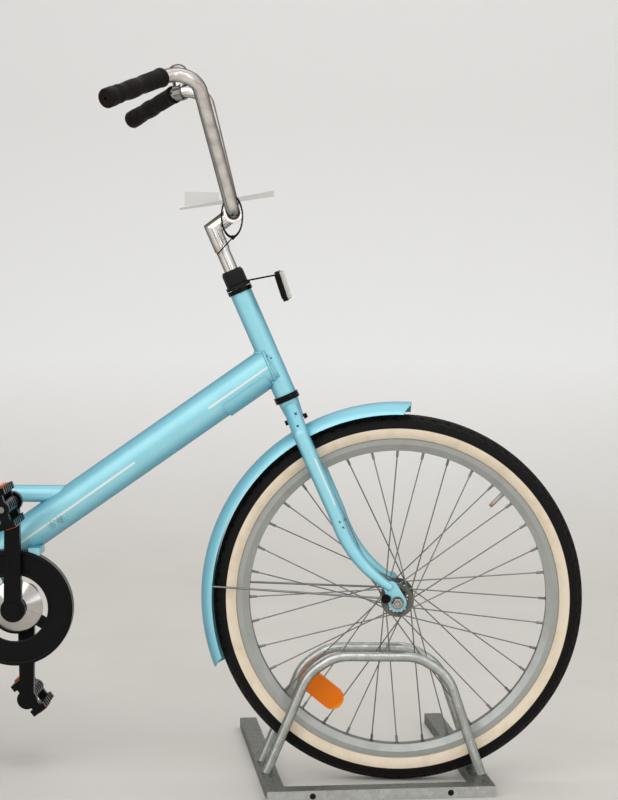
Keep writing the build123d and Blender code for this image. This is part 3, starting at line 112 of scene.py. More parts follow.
class Graph:
    """The node graph of one material, with one way to add and wire its nodes."""

    def __init__(self, material: bpy.types.Material) -> None:
        """Clears the material and gives it a surface shader.

        Args:
            material: the material to wire.
        """
        self.tree = material.node_tree
        self.tree.nodes.clear()
        self.shader = self.add("ShaderNodeBsdfPrincipled")
        self.add("ShaderNodeOutputMaterial", {"Surface": self.shader.outputs["BSDF"]})
        self.place = self.add("ShaderNodeTexCoord").outputs["Object"]

    def add(self, kind: str, inputs: dict[Any, Any] | None = None, **settings: Any) -> Any:
        """Adds one node.

        Args:
            kind: the node's type.
            inputs: value or wired output of each input, by its name or number.
            settings: properties of the node itself.

        Returns:
            The new node.
        """
        node = self.tree.nodes.new(kind)
        for name, value in settings.items():
            setattr(node, name, value)
        for name, value in (inputs or {}).items():
            self.plug(node.inputs[name], value)
        return node

    def plug(self, socket: bpy.types.NodeSocket, value: Any) -> None:
        """Sets one input of a node.

        Args:
            socket: the input.
            value: a plain value or a wired output.
        """
        if isinstance(value, bpy.types.NodeSocket):
            self.tree.links.new(value, socket)
        else:
            socket.default_value = value

    def surface(self, **values: Any) -> None:
        """Sets the shader's inputs, each by its name in lower case with underscores.

        Args:
            values: a number, a colour or a wired output for each input.
        """
        for name, value in values.items():
            label = name.replace("_", " ").title().replace("Ior", "IOR")
            self.plug(self.shader.inputs[label], value)

    def grain(self, scale: float, detail: float = 3.0, stretch: tuple = (1, 1, 1)) -> Any:
        """Noise in real size.

        Args:
            scale: size of one grain in metres.
            detail: how many finer layers the noise has.
            stretch: how many times faster the noise changes along X, Y and Z.

        Returns:
            The noise value, 0 to 1.
        """
        mapped = self.add("ShaderNodeMapping", {"Vector": self.place, "Scale": stretch})
        noise = self.add(
            "ShaderNodeTexNoise",
            {"Vector": mapped.outputs[0], "Scale": 1 / scale, "Detail": detail},
        )
        return noise.outputs["Fac"]

    def between(self, value: Any, low: float, high: float, to_low: float, to_high: float) -> Any:
        """Stretches a value from one range onto another and clamps it there.

        Args:
            value: the wired value.
            low: the value that becomes to_low.
            high: the value that becomes to_high.
            to_low: start of the new range.
            to_high: end of the new range.

        Returns:
            The stretched value.
        """
        inputs = {"Value": value, 1: low, 2: high, 3: to_low, 4: to_high}
        return self.add("ShaderNodeMapRange", inputs).outputs[0]

    def mix(self, share: Any, first: Any, second: Any) -> Any:
        """Mixes two colours.

        Args:
            share: how much of the second is seen.
            first: hex code or wired colour.
            second: hex code or wired colour.

        Returns:
            The mixed colour.
        """
        first, second = (linear(c) if isinstance(c, str) else c for c in (first, second))
        node = self.add("ShaderNodeMix", {0: share, 6: first, 7: second}, data_type="RGBA")
        return node.outputs[2]

    def paint_edge_shade(self, colour: Any, dark: Any, share: float) -> Any:
        """Paints shade onto a colour where the surface turns away.

        Args:
            colour: hex code or wired colour seen face on.
            dark: hex code or wired colour of the painted shade seen edge on.
            share: how much of the painted shade the edges take.

        Returns:
            The colour with its painted edge shade.
        """
        facing = self.add("ShaderNodeLayerWeight", {"Blend": 0.35}).outputs["Facing"]
        return self.mix(self.between(facing, 0.06, 0.58, 0.0, share), colour, dark)

    def maths(self, operation: str, *values: Any) -> Any:
        """Works out one number.

        Args:
            operation: the node's operation.
            values: its numbers, plain or wired.

        Returns:
            The result.
        """
        inputs = dict(enumerate(values))
        return self.add("ShaderNodeMath", inputs, operation=operation).outputs[0]

    def local(self, x: float, z: float, slope_deg: float = 0.0) -> Any:
        """Coordinates about a feature that is seen from the side.

        Args:
            x: how far ahead its middle is.
            z: how high its middle is.
            slope_deg: how steeply it rises ahead.

        Returns:
            The separated coordinates' node.
        """
        turn = (0.0, -math.radians(slope_deg), 0.0)
        mapping = self.add(
            "ShaderNodeMapping",
            {"Vector": self.place, "Location": (x, 0.0, z), "Rotation": turn},
            vector_type="TEXTURE",
        )
        return self.add("ShaderNodeSeparateXYZ", {0: mapping.outputs[0]})

    def axis(self, index: int) -> Any:
        """One of the piece's own coordinates.

        Args:
            index: 0 for X, 1 for Y and 2 for Z.

        Returns:
            The coordinate in metres.
        """
        return self.add("ShaderNodeSeparateXYZ", {0: self.place}).outputs[index]

    def around(self, x: float, z: float) -> Any:
        """Distance from a line that runs across the bicycle.

        Args:
            x: where the line runs.
            z: how high it runs.

        Returns:
            The distance in metres.
        """
        spot = self.local(x, z)
        squares = [self.maths("POWER", spot.outputs[i], 2.0) for i in (0, 2)]
        return self.maths("SQRT", self.maths("ADD", *squares))

    def bump(self, height: Any, distance: float, strength: float = 1.0) -> None:
        """Raises the surface where a value is high.

        Args:
            height: the wired value.
            distance: the real height of a full step, in metres.
            strength: how much of the bump is seen.
        """
        inputs = {"Height": height, "Distance": distance, "Strength": strength}
        self.surface(normal=self.add("ShaderNodeBump", inputs).outputs[0])


class Sky(Graph):
    """The node graph of the world: bright above, with dark bands for metal to reflect."""

    def __init__(self, world: bpy.types.World, strength: float) -> None:
        """Clears the world and wires its sky.

        Args:
            world: the world to wire.
            strength: how bright the sky is.
        """
        self.tree = world.node_tree
        self.tree.nodes.clear()
        direction = self.add("ShaderNodeTexCoord").outputs["Generated"]
        self.place = self.add("ShaderNodeSeparateXYZ", {0: direction})
        seen = self.add("ShaderNodeLightPath").outputs["Is Camera Ray"]
        colour = self.mix(seen, self.mix(self.bands(), "#2E2C2A", "#FFFFFF"), "#F6F8FA")
        sky = self.add("ShaderNodeBackground", {"Color": colour, "Strength": strength})
        self.add("ShaderNodeOutputWorld", {"Surface": sky.outputs[0]})

    def bands(self) -> Any:
        """Finds where the sky is bright.

        Returns:
            1 overhead and in the bright bands, 0 in the dark ones.
        """
        x, y, z = self.place.outputs[0], self.place.outputs[1], self.place.outputs[2]
        turn = self.maths("MULTIPLY_ADD", self.maths("ARCTAN2", y, x), 5.0, 0.9)
        bright = self.between(self.maths("SINE", turn), -0.45, 0.25, 0.0, 1.0)
        overhead = self.between(z, 0.45, 0.75, 0.0, 1.0)
        return self.maths("MAXIMUM", bright, overhead)


@dataclass(frozen=True)
class Finish:
    """A surface, named for what it is made of."""

    name: str
    colour: str
    roughness: float

    def material(self) -> bpy.types.Material:
        """Gives this finish's material, made once.

        Returns:
            The material.
        """
        title = f"{self.name}_finish"
        found = bpy.data.materials.get(title)
        if found is None:
            found = bpy.data.materials.new(title)
            found.use_nodes = True
            self.wire(Graph(found))
            log.info("finish %s", self.name)
        return found

    def wire(self, graph: Graph) -> None:
        """Wires the finish.

        Args:
            graph: the material's graph.
        """
        raise NotImplementedError(self.name)


@dataclass(frozen=True)
class Stripe:
    """A painted line: its middle, slope, length and width, seen from the side."""

    x: float
    z: float
    slope_deg: float
    length: float
    width: float


@dataclass(frozen=True)
class Chip:
    """A spot where the paint is gone or scuffed: middle, radius and darkness."""

    x: float
    z: float
    radius: float
    depth: float = 1.0


@dataclass(frozen=True)
class PearlPaint(Finish):
    """Turquoise pearl under clear lacquer: bright satin, pale where it faces the view and darkened
    by painted shade where it turns away.
    """

    colour: str = "#9CE0ED"
    roughness: float = 0.30
    # Colour of the painted shade at the edges, also mixed in faintly in random clouds.
    shade: str = "#1F88A6"
    stripes: tuple[Stripe, ...] = ()
    chips: tuple[Chip, ...] = ()

    def wire(self, graph: Graph) -> None:
        """Wires the paint with its painted edge shade, its stripes and its chips.

        Args:
            graph: the material's graph.
        """
        flake = graph.grain(0.4 * MM, detail=1.0)
        cloud = graph.grain(60 * MM)
        # Painted shade: the paint darkens where the surface turns away.
        colour = graph.paint_edge_shade(self.colour, self.shade, 0.95)
        colour = graph.mix(graph.between(cloud, 0.4, 0.7, 0.0, 0.10), colour, self.shade)
        for stripe in self.stripes:
            colour = graph.mix(self.line_mask(graph, stripe), colour, "#EEF3F2")
        for chip in self.chips:
            colour = graph.mix(self.chip_mask(graph, chip), colour, "#14161A")
        graph.surface(
            base_color=colour,
            roughness=graph.between(cloud, 0.3, 0.7, self.roughness, self.roughness + 0.06),
            metallic=0.12,
            coat_weight=0.45,
            coat_roughness=0.12,
        )
        graph.bump(flake, 0.004 * MM)

    def line_mask(self, graph: Graph, stripe: Stripe) -> Any:
        """Finds where a stripe lies.

        Args:
            graph: the material's graph.
            stripe: the painted line.

        Returns:
            1 on the line and 0 beside it.
        """
        spot = graph.local(stripe.x, stripe.z, stripe.slope_deg)
        along = graph.maths("COMPARE", spot.outputs[0], 0.0, stripe.length / 2)
        across = graph.maths("COMPARE", spot.outputs[2], 0.0, stripe.width / 2)
        return graph.maths("MULTIPLY", along, across)

    def chip_mask(self, graph: Graph, chip: Chip) -> Any:
        """Finds where the paint is chipped, with a ragged edge, on the right side only.

        Args:
            graph: the material's graph.
            chip: the spot.

        Returns:
            The chip's depth inside it and 0 outside.
        """
        rag = graph.between(graph.grain(2.2 * MM, detail=4.0), 0.35, 0.65, 0.6, 2.2)
        ragged = graph.maths("MULTIPLY", graph.around(chip.x, chip.z), rag)
        inside = graph.maths("LESS_THAN", ragged, chip.radius)
        on_right = graph.maths("LESS_THAN", graph.axis(1), 0.0)
        return graph.maths("MULTIPLY", graph.maths("MULTIPLY", inside, on_right), chip.depth)


@dataclass(frozen=True)
class Moulded(Finish):
    """Moulded rubber or plastic: dark, faintly mottled and worn dull in places."""

    worn: str = "#37322F"
    grain_size: float = 0.6 * MM
    depth: float = 0.03 * MM

    def wire(self, graph: Graph) -> None:
        """Wires the moulding.

        Args:
            graph: the material's graph.
        """
        fine = graph.grain(self.grain_size)
        wear = graph.grain(35 * MM, detail=5.0)
        worn = graph.between(wear, 0.45, 0.8, 0.0, 0.6)
        graph.surface(
            base_color=graph.mix(worn, self.colour, self.worn),
            roughness=graph.between(wear, 0.3, 0.8, self.roughness, self.roughness + 0.18),
            specular_ior_level=0.15,
        )
        graph.bump(fine, self.depth)


@dataclass(frozen=True)
class TwoToneTyre(Finish):
    """Black tread rubber over a cream side wall, with dry dust on the tread's edges."""

    x: float = 0.0
    cream: str = "#EADBC4"
    cream_reach: float = 0.2780
    dusty_reach: tuple[float, float] = (0.2885, 0.2925)

    def wire(self, graph: Graph) -> None:
        """Wires the tyre.

        Args:
            graph: the material's graph.
        """
        reach = graph.around(self.x, WHEEL_RADIUS)
        soil = graph.grain(26 * MM, detail=5.0)
        speck = graph.grain(1.8 * MM, detail=4.0)
        soft = 0.3 * MM
        wall = graph.between(reach, self.cream_reach - soft, self.cream_reach + soft, 1.0, 0.0)
        cream = graph.mix(graph.between(soil, 0.45, 0.75, 0.0, 0.45), self.cream, "#C9B394")
        edge = graph.between(reach, *self.dusty_reach, 0.0, 1.0)
        dust = graph.maths("MULTIPLY", graph.between(speck, 0.58, 0.66, 0.0, 0.5), edge)
        black = graph.mix(dust, self.colour, "#4E4036")
        shine = graph.between(wall, 0.0, 1.0, 0.15, 0.4)
        colour = graph.mix(wall, black, cream)
        graph.surface(base_color=colour, roughness=self.roughness, specular_ior_level=shine)
        graph.bump(speck, 0.05 * MM)


@dataclass(frozen=True)
class Metal(Finish):
    """Bare or plated metal: drawn streaks and dull patches break up its reflections, and painted
    dark reflection lines its edges; on the polished alloy the brownish patches are painted brown
    reflection as well as tarnish.
    """

    tarnish_and_reflection: str = "#8A8580"
    tarnish_and_reflection_share: float = 0.35
    # Colour of the painted dark reflection at the edges.
    edge: str = "#4A4642"
    streak: tuple[float, float, float] = (1.0, 1.0, 1.0)
    metallic: float = 1.0
    depth: float = 0.004 * MM

    def wire(self, graph: Graph) -> None:
        """Wires the metal.

        Args:
            graph: the material's graph.
        """
        drawn = graph.grain(2.5 * MM, stretch=self.streak)
        dull = graph.grain(22 * MM, detail=6.0)
        # Dull patches: tarnish, and on the polished alloy also painted brown reflection.
        share = graph.between(dull, 0.42, 0.75, 0.0, self.tarnish_and_reflection_share)
        colour = graph.mix(share, self.colour, self.tarnish_and_reflection)
        graph.surface(
            # Painted dark reflection where the surface turns away.
            base_color=graph.paint_edge_shade(colour, self.edge, 0.85),
            specular_tint=linear(DULL_TINT),
            metallic=self.metallic,
            roughness=graph.between(dull, 0.3, 0.75, self.roughness, self.roughness + 0.14),
        )
        graph.bump(drawn, self.depth)


@dataclass(frozen=True)
class Galvanised(Finish):
    """Hot-dip zinc: flat grey crystals, each a little lighter or darker, with painted dark
    reflection along its edges.
    """

    dark: str = "#AEB1AC"
    crystal: float = 9 * MM

    def wire(self, graph: Graph) -> None:
        """Wires the zinc.

        Args:
            graph: the material's graph.
        """
        cells = graph.add(
            "ShaderNodeTexVoronoi",
            {"Vector": graph.place, "Scale": 1 / self.crystal, "Randomness": 1.0},
        )
        tone = graph.add("ShaderNodeSeparateColor", {0: cells.outputs["Color"]}).outputs[0]
        stain = graph.grain(30 * MM, detail=6.0)
        colour = graph.mix(graph.between(tone, 0.0, 1.0, 0.0, 0.7), self.colour, self.dark)
        colour = graph.mix(graph.between(stain, 0.55, 0.8, 0.0, 0.5), colour, "#948C82")
        graph.surface(
            # Painted dark reflection where the surface turns away.
            base_color=graph.paint_edge_shade(colour, "#5C5E59", 0.5),
            specular_tint=linear(DULL_TINT),
            metallic=0.78,
            roughness=graph.between(tone, 0.0, 1.0, self.roughness, self.roughness + 0.15),
        )
        graph.bump(stain, 0.05 * MM)


@dataclass(frozen=True)
class RibbedReflector(Finish):
    """Coloured plastic over fine ribs, with plain ends and painted shade in the grooves between
    the ribs.
    """

    x: float = 0.0
    z: float = 0.0
    slope_deg: float = 0.0
    rib: float = 2.4 * MM
    end_colour: str = "#F4A010"
    # Colour of the painted shade in the grooves.
    groove: str = "#DE6000"
    half_length: float = 0.040

    def wire(self, graph: Graph) -> None:
        """Wires the reflector.

        Args:
            graph: the material's graph.
        """
        spot = graph.local(self.x, self.z, self.slope_deg)
        ribs = [self.ridges(graph, spot.outputs[i]) for i in (0, 2)]
        across = self.ridges(graph, graph.axis(1))
        height = graph.maths("ADD", graph.maths("ADD", *ribs), across)
        reach = graph.maths("ABSOLUTE", spot.outputs[0])
        share = graph.between(reach, self.half_length * 0.80, self.half_length * 0.92, 0.0, 0.8)
        # Painted shade: the grooves between the ribs are darker.
        body = graph.mix(graph.between(height, 0.5, 1.7, 0.0, 1.0), self.groove, self.colour)
        graph.surface(
            base_color=graph.mix(share, body, self.end_colour),
            roughness=self.roughness,
            specular_ior_level=0.15,
            coat_weight=0.1,
            coat_roughness=0.05,
        )
        graph.bump(height, 0.25 * MM, 0.6)

    def ridges(self, graph: Graph, run: Any) -> Any:
        """Makes rounded ridges along one direction.

        Args:
            graph: the material's graph.
            run: the coordinate across the ridges.

        Returns:
            0 in the grooves and 1 on the ridges.
        """
        return graph.maths("PINGPONG", graph.maths("DIVIDE", run, self.rib / 2), 1.0)


@dataclass(frozen=True)
class Grain(Finish):
    """Vinyl or plain card: an even colour with a pressed grain."""

    pore: float = 1.6 * MM
    depth: float = 0.12 * MM
    shade: str = "#000000"

    def wire(self, graph: Graph) -> None:
        """Wires the grained sheet.

        Args:
            graph: the material's graph.
        """
        cells = graph.add("ShaderNodeTexVoronoi", {"Vector": graph.place, "Scale": 1 / self.pore})
        height = cells.outputs["Distance"]
        hand = graph.grain(45 * MM, detail=4.0)
        handled = graph.between(hand, 0.4, 0.8, 0.0, 0.35)
        graph.surface(
            base_color=graph.mix(handled, self.colour, self.shade),
            roughness=graph.between(hand, 0.3, 0.8, self.roughness, self.roughness + 0.12),
        )
        graph.bump(height, self.depth)


@dataclass(frozen=True)
class Ground(Finish):
    """Studio floor that runs up into the wall, seen through from the wall's back."""

    wall: str = "#F1F1F0"
    blend: float = 0.5

    def wire(self, graph: Graph) -> None:
        """Wires the ground.

        Args:
            graph: the material's graph.
        """
        smudge = graph.grain(0.35, detail=5.0)
        floor = graph.mix(graph.between(smudge, 0.45, 0.75, 0.0, 0.35), self.colour, "#C2BDB6")
        share = graph.between(graph.axis(2), 0.0, self.blend, 0.0, 1.0)
        graph.surface(base_color=graph.mix(share, floor, self.wall), roughness=self.roughness)
        behind = graph.add("ShaderNodeNewGeometry").outputs["Backfacing"]
        seen = graph.add("ShaderNodeLightPath").outputs["Is Camera Ray"]
        hidden = graph.maths("MULTIPLY", behind, seen)
        graph.surface(alpha=graph.maths("SUBTRACT", 1.0, hidden))


PAINT = PearlPaint("turquoise_pearl_paint")
FRAME_PAINT = PearlPaint(
    "turquoise_frame_paint",
    stripes=(
        Stripe(-0.5347, 0.4446, 35.3, 0.270, 3.4 * MM),
        Stripe(-0.2560, 0.6445, 35.0, 0.120, 3.4 * MM),
    ),
    chips=(
        Chip(-0.2110, 0.6943, 1.5 * MM),
        Chip(-0.2046, 0.6911, 2.2 * MM),
        Chip(-0.5465, 0.4282, 9.0 * MM, 0.35),
        Chip(-0.5600, 0.4200, 7.0 * MM, 0.30),
    ),
)
FORK_PAINT = PearlPaint(
    "turquoise_fork_paint",
    stripes=(Stripe(-0.1165, 0.4950, -66.4, 0.082, 1.8 * MM),),
    chips=(
        Chip(-0.1644, 0.6022, 2.8 * MM),
        Chip(-0.1606, 0.5840, 2.2 * MM),
        Chip(-0.0925, 0.4301, 2.4 * MM),
        Chip(-0.0877, 0.4220, 2.0 * MM),
        Chip(-0.0845, 0.4333, 1.8 * MM),
    ),
)
BLACK_RUBBER = Moulded("black_grip_rubber", "#140D0B", 0.50, worn="#211814")
BLACK_PLASTIC = Moulded("black_moulded_plastic", "#060607", 0.26, worn="#0D0D0E", depth=0.01 * MM)
CAP_PLASTIC = Moulded("dull_headset_cap", "#1C1B1C", 0.42, worn="#2A2928", depth=0.01 * MM)
BLACK_STEEL = Moulded("black_enamelled_steel", "#060607", 0.22, worn="#0C0C0D", depth=0.006 * MM)
RIM = Metal(
    "silver_rim_aluminium", "#B0B2AE", 0.36, tarnish_and_reflection="#989A95", edge="#7C7E7A", metallic=0.55
)
ZINC_WIRE = Metal("zinc_plated_steel", "#8F918E", 0.32, tarnish_and_reflection="#595855")
NUT = Metal("bright_zinc_nut", "#C2BFBA", 0.16, tarnish_and_reflection="#8A857E", tarnish_and_reflection_share=0.25)
HUB = Metal("dull_hub_steel", "#7C7975", 0.36, tarnish_and_reflection="#3F3C39", tarnish_and_reflection_share=0.7)
BRASS = Metal("valve_brass", "#B98A3E", 0.30, tarnish_and_reflection="#7A5A2A")
# Polished alloy: its brownish patches are tarnish and painted brown reflection, its dark brown
# edges painted reflection.
ALLOY = Metal(
    "polished_alloy",
    "#F6F2EF",
    0.13,
    tarnish_and_reflection="#AC9F94",
    tarnish_and_reflection_share=0.6,
    edge="#5F554C",
    streak=(1, 1, 0.15),
)
CHROME = Metal("bright_chrome_plate", "#CBC8C4", 0.07, tarnish_and_reflection="#8E8880", tarnish_and_reflection_share=0.3)
CHAIN_STEEL = Metal("oiled_chain_steel", "#6B6763", 0.38, tarnish_and_reflection="#3A3430", tarnish_and_reflection_share=0.8)
ZINC = Galvanised("galvanised_steel", "#C9CCC8", 0.24)
VINYL = Grain("saddle_vinyl", "#1B1A1C", 0.42, shade="#2C2A2B")
# One folded card in two tones: the strip's greyer tone is painted shade, the flap's paler tone
# painted light.
CARD = Grain("blank_card_in_painted_shade", "#B9B6B2", 0.55, depth=0.02 * MM, shade="#A39F9B")
CARD_IN_PAINTED_LIGHT = Grain("blank_card_flap_in_painted_light", "#DAD8D5", 0.6, depth=0.02 * MM, shade="#CBC8C4")
WHEEL_AMBER = RibbedReflector(
    "orange_spoke_reflector", "#FF8C14", 0.12, x=-0.1221, z=0.1492, slope_deg=-57.6
)
REAR_WHEEL_AMBER = RibbedReflector(
    "orange_rear_spoke_reflector", "#FF8C14", 0.12, x=-1.1621, z=0.1492, slope_deg=-57.6
)
NO_ENDS = 10.0  # so long that no plain end is reached
PEDAL_AMBER = RibbedReflector(
    "orange_pedal_reflector", "#E8640A", 0.18, rib=2.0 * MM, half_length=NO_ENDS
)
CLEAR_LENS = RibbedReflector(
    "clear_reflector_lens", "#D0CDC5", 0.12, rib=3.4 * MM, groove="#7F7C74", half_length=NO_ENDS
)
RED_LENS = RibbedReflector(
    "red_reflector_lens", "#D01620", 0.14, rib=2.6 * MM, groove="#7A0A10", half_length=NO_ENDS
)
STUDIO = Ground("studio_ground", "#D1CDC7", 0.75)


def placed(name: str, data: bpy.types.ID) -> bpy.types.Object:
    """Adds an object to the scene.

    Args:
        name: its name.
        data: its mesh, camera or light.

    Returns:
        The object.
    """
    thing = bpy.data.objects.new(name, data)
    bpy.context.scene.collection.objects.link(thing)
    return thing


def aimed(origin: Vector, up: Vector, ahead: Vector = UP) -> Matrix:
    """Makes the placing of a piece that is drawn about its own Z axis.

    Args:
        origin: where the piece's zero point goes.
        up: where its Z axis points.
        ahead: where its X axis points, as nearly as it can.

    Returns:
        The placing matrix.
    """
    z_axis = up.normalized()
    hint = AHEAD if abs(ahead.normalized().dot(z_axis)) > 0.99 else ahead
    x_axis = (hint - z_axis * hint.dot(z_axis)).normalized()
    y_axis = z_axis.cross(x_axis)
    turn = Matrix((x_axis, y_axis, z_axis)).transposed().to_4x4()
    return Matrix.Translation(origin) @ turn


class Draft:
    """A mesh that is being drawn, one operator after another."""

    def __init__(self) -> None:
        """Starts with an empty mesh."""
        self.mesh = bmesh.new()

    def lathe(
        self,
        outline: Iterable[tuple[float, float]],
        place: Matrix,
        steps: int = 32,
        closed: bool = False,
    ) -> None:
        """Turns an outline about the Z axis of its placing.

        Args:
            outline: distance from the axis and height of each corner, in millimetres.
            place: where the turned piece goes.
            steps: how many flats the turn has.
            closed: whether the last corner joins the first.
        """
        known = set(self.mesh.verts)
        corners = [self.mesh.verts.new((reach * MM, 0, height * MM)) for reach, height in outline]
        ends = corners[1:] + corners[:1] if closed else corners[1:]
        edges = [self.mesh.edges.new(pair) for pair in zip(corners, ends)]
        bmesh.ops.spin(
            self.mesh,
            geom=corners + edges,
            cent=(0, 0, 0),
            axis=(0, 0, 1),
            angle=FULL_TURN,
            steps=steps,
            use_merge=True,
        )
        spun = [vert for vert in self.mesh.verts if vert not in known]
        bmesh.ops.remove_doubles(self.mesh, verts=spun, dist=0.001 * MM)
        kept = [vert for vert in spun if vert.is_valid]
        bmesh.ops.transform(self.mesh, matrix=place, verts=kept)

    def barrel(
        self, radius: float, height: float, place: Matrix, sides: int = 24, tip: float = 1.0
    ) -> None:
        """Adds a closed barrel, cone or prism that stands on its placing.

        Args:
            radius: reach of its corners at the foot.
            height: its height.
            place: where its foot goes.
            sides: how many sides it has.
            tip: share of the radius left at the top.
        """
        bmesh.ops.create_cone(
            self.mesh,
            cap_ends=True,
            segments=sides,
            radius1=radius,
            radius2=radius * tip,
            depth=height,
            matrix=place @ Matrix.Translation((0, 0, height / 2)),
        )

    def block(self, size: Iterable[float], place: Matrix) -> None:
        """Adds a block about the middle of its placing.

        Args:
            size: its length, width and height.
            place: where its middle goes.
        """
        scaled = place @ Matrix.Diagonal((*size, 1.0))
        bmesh.ops.create_cube(self.mesh, size=1.0, matrix=scaled)

    def leaf(self, corners: Iterable[tuple[float, float, float]], thickness: float) -> None:
        """Adds a thin sheet between its corners.

        Args:
            corners: its corners in order.
            thickness: how thick it is.
        """
        face = self.mesh.faces.new([self.mesh.verts.new(spot) for spot in corners])
        bmesh.ops.solidify(self.mesh, geom=[face], thickness=thickness)

    def bolt(self, place: Matrix, across: float, height: float, washer: float) -> None:
        """Adds a hexagon head on a washer.

        Args:
            place: the seat of the washer, Z pointing out.
            across: distance across the head's flats.
            height: height of the head.
            washer: radius of the washer.
        """
        lift = 1.0 * MM
        self.barrel(washer, lift, place)
        raised = place @ Matrix.Translation((0, 0, lift))
        self.barrel(across / math.sqrt(3), height, raised, sides=6, tip=0.96)

    def finish(
        self,
        name: str,
        body: str,
        slot: str,
        finish: Finish,
        stands_for: tuple[str, ...] = (),
        crease_deg: float = 34.0,
    ) -> bpy.types.Object:
        """Turns the drawing into a piece of the scene that rides on the frame.

        Args:
            name: the piece's name.
            body: the frame's body that carries it.
            slot: name of a material slot; not used.
            finish: its surface.
            stands_for: nodes of the frame that it is shown instead of.
            crease_deg: edges sharper than this stay sharp.

        Returns:
            The finished object.
        """
        bmesh.ops.remove_doubles(self.mesh, verts=self.mesh.verts[:], dist=0.002 * MM)
        bmesh.ops.recalc_face_normals(self.mesh, faces=self.mesh.faces[:])
        data = bpy.data.meshes.new(name)
        self.mesh.to_mesh(data)
        self.mesh.free()
        data.materials.append(finish.material())
        data.shade_smooth()
        data.set_sharp_from_angle(angle=math.radians(crease_deg))
        piece = placed(name, data)
        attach(piece, body)
        if stands_for:
            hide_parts(*stands_for)
        log.info("piece %s: %d faces", name, len(data.polygons))
        return piece


Coats = dict[Finish, tuple[str, ...]]


@dataclass
class Assembly:
    """A sub-assembly: it builds its pieces and dresses its nodes of the frame."""

    COATS: ClassVar[Coats] = {}
    nodes: dict[str, bpy.types.Object]

    def coats(self) -> Coats:
        """Says which finish each of the assembly's nodes takes.

        Returns:
            The nodes of each finish.
        """
        return self.COATS

    def dress(self) -> None:
        """Gives the assembly's nodes of the frame their finishes."""
        for finish, names in self.coats().items():
            for name in names:
                node = self.nodes[name]
                if not node.material_slots:
                    node.data.materials.append(None)
                for slot in node.material_slots:
                    slot.material = finish.material()

    def build(self) -> None:
        """Builds the assembly's own pieces."""


@dataclass
class Wheel(Assembly):
    """A laced wheel with its treaded tyre and the seats of its spokes."""

    prefix: str = "front"
    axle: Vector = FRONT_AXLE
    steps: int = 264
    groove: float = 1.5
    tread_reach: float = 0.2905
    crown_reach: float = 0.2945
    spoke_seat: float = 0.2412

    def coats(self) -> Coats:
        """Says which finish each node of the wheel takes.

        Returns:
            The nodes of each finish.
        """
        amber = WHEEL_AMBER if self.prefix == "front" else REAR_WHEEL_AMBER
        return {
            RIM: (f"{self.prefix}_rim",),
            ZINC_WIRE: (f"{self.prefix}_spokes",),
            HUB: (f"{self.prefix}_hub",),
            amber: (f"{self.prefix}_wheel_reflector",),
        }

    def build(self) -> None:
        """Builds the tyre and the spokes' seats."""
        self.build_tyre()
        self.build_nipples()

    def tyre_outline(self) -> list[tuple[float, float]]:
        """Draws the tyre's section, from one bead over the tread to the other.

        Returns:
            Reach and side of each corner, in millimetres.
        """
        centre, casing, tread_angle = 276.5, 23.3, 43
        near = [(256.5, 11.0), (261.2, 12.8)]
        for angle in (-39, -27, -14, 0, 14, 26, 37, tread_angle, 51, 60, 70, 79, 86):
            turn = math.radians(angle)
            radius = casing - self.groove if angle >= tread_angle else casing
            near.append((centre + radius * math.sin(turn), radius * math.cos(turn)))
        return near + [(reach, -side) for reach, side in reversed(near)]

    def build_tyre(self) -> None:
        """Spins the section and raises the tread's blocks out of it."""
        draft = Draft()
        place = aimed(self.axle, -TO_LEFT, AHEAD)
        draft.lathe(self.tyre_outline(), place, self.steps, closed=True)
        shoulder, crown = [], []
        for face in draft.mesh.faces:
            middle = face.calc_center_median() - self.axle
            reach = math.hypot(middle.x, middle.z)
            step = round((math.atan2(middle.z, middle.x) / FULL_TURN) * self.steps - 0.5)
            if reach >= self.crown_reach:
                crown.append(face)
            elif reach >= self.tread_reach and step % 3:
                shoulder.append(face)
        bmesh.ops.recalc_face_normals(draft.mesh, faces=draft.mesh.faces[:])
        for blocks, gap in ((shoulder, 0.25 * MM), (crown, 0.55 * MM)):
            bmesh.ops.inset_individual(
                draft.mesh, faces=blocks, thickness=gap, depth=(self.groove - 0.1) * MM
            )
        draft.finish(
            f"{self.prefix}_treaded_tyre",
            f"{self.prefix}_wheel",
            "tyre_rubber",
            TwoToneTyre(f"{self.prefix}_tyre_rubber", "#0F0E0E", 0.62, x=self.axle.x),
            (f"{self.prefix}_tyre",),
            crease_deg=30,
        )

    def build_nipples(self) -> None:
        """Sets a flanged seat round each spoke where it enters the rim."""
        draft = Draft()
        place = aimed(self.axle, -TO_LEFT, AHEAD)
        reach = Matrix.Translation((self.spoke_seat, 0, 0))
        inward = Matrix.Rotation(-math.pi / 2, 4, "Y")
        for index in range(SPOKES):
            turn = Matrix.Rotation(FULL_TURN * index / SPOKES, 4, "Z")
            seat = place @ turn @ reach @ inward
            draft.barrel(3.6 * MM, 1.2 * MM, seat, sides=12, tip=0.85)
        draft.finish(f"{self.prefix}_spoke_seats", f"{self.prefix}_wheel", "zinc_wire", ZINC_WIRE)


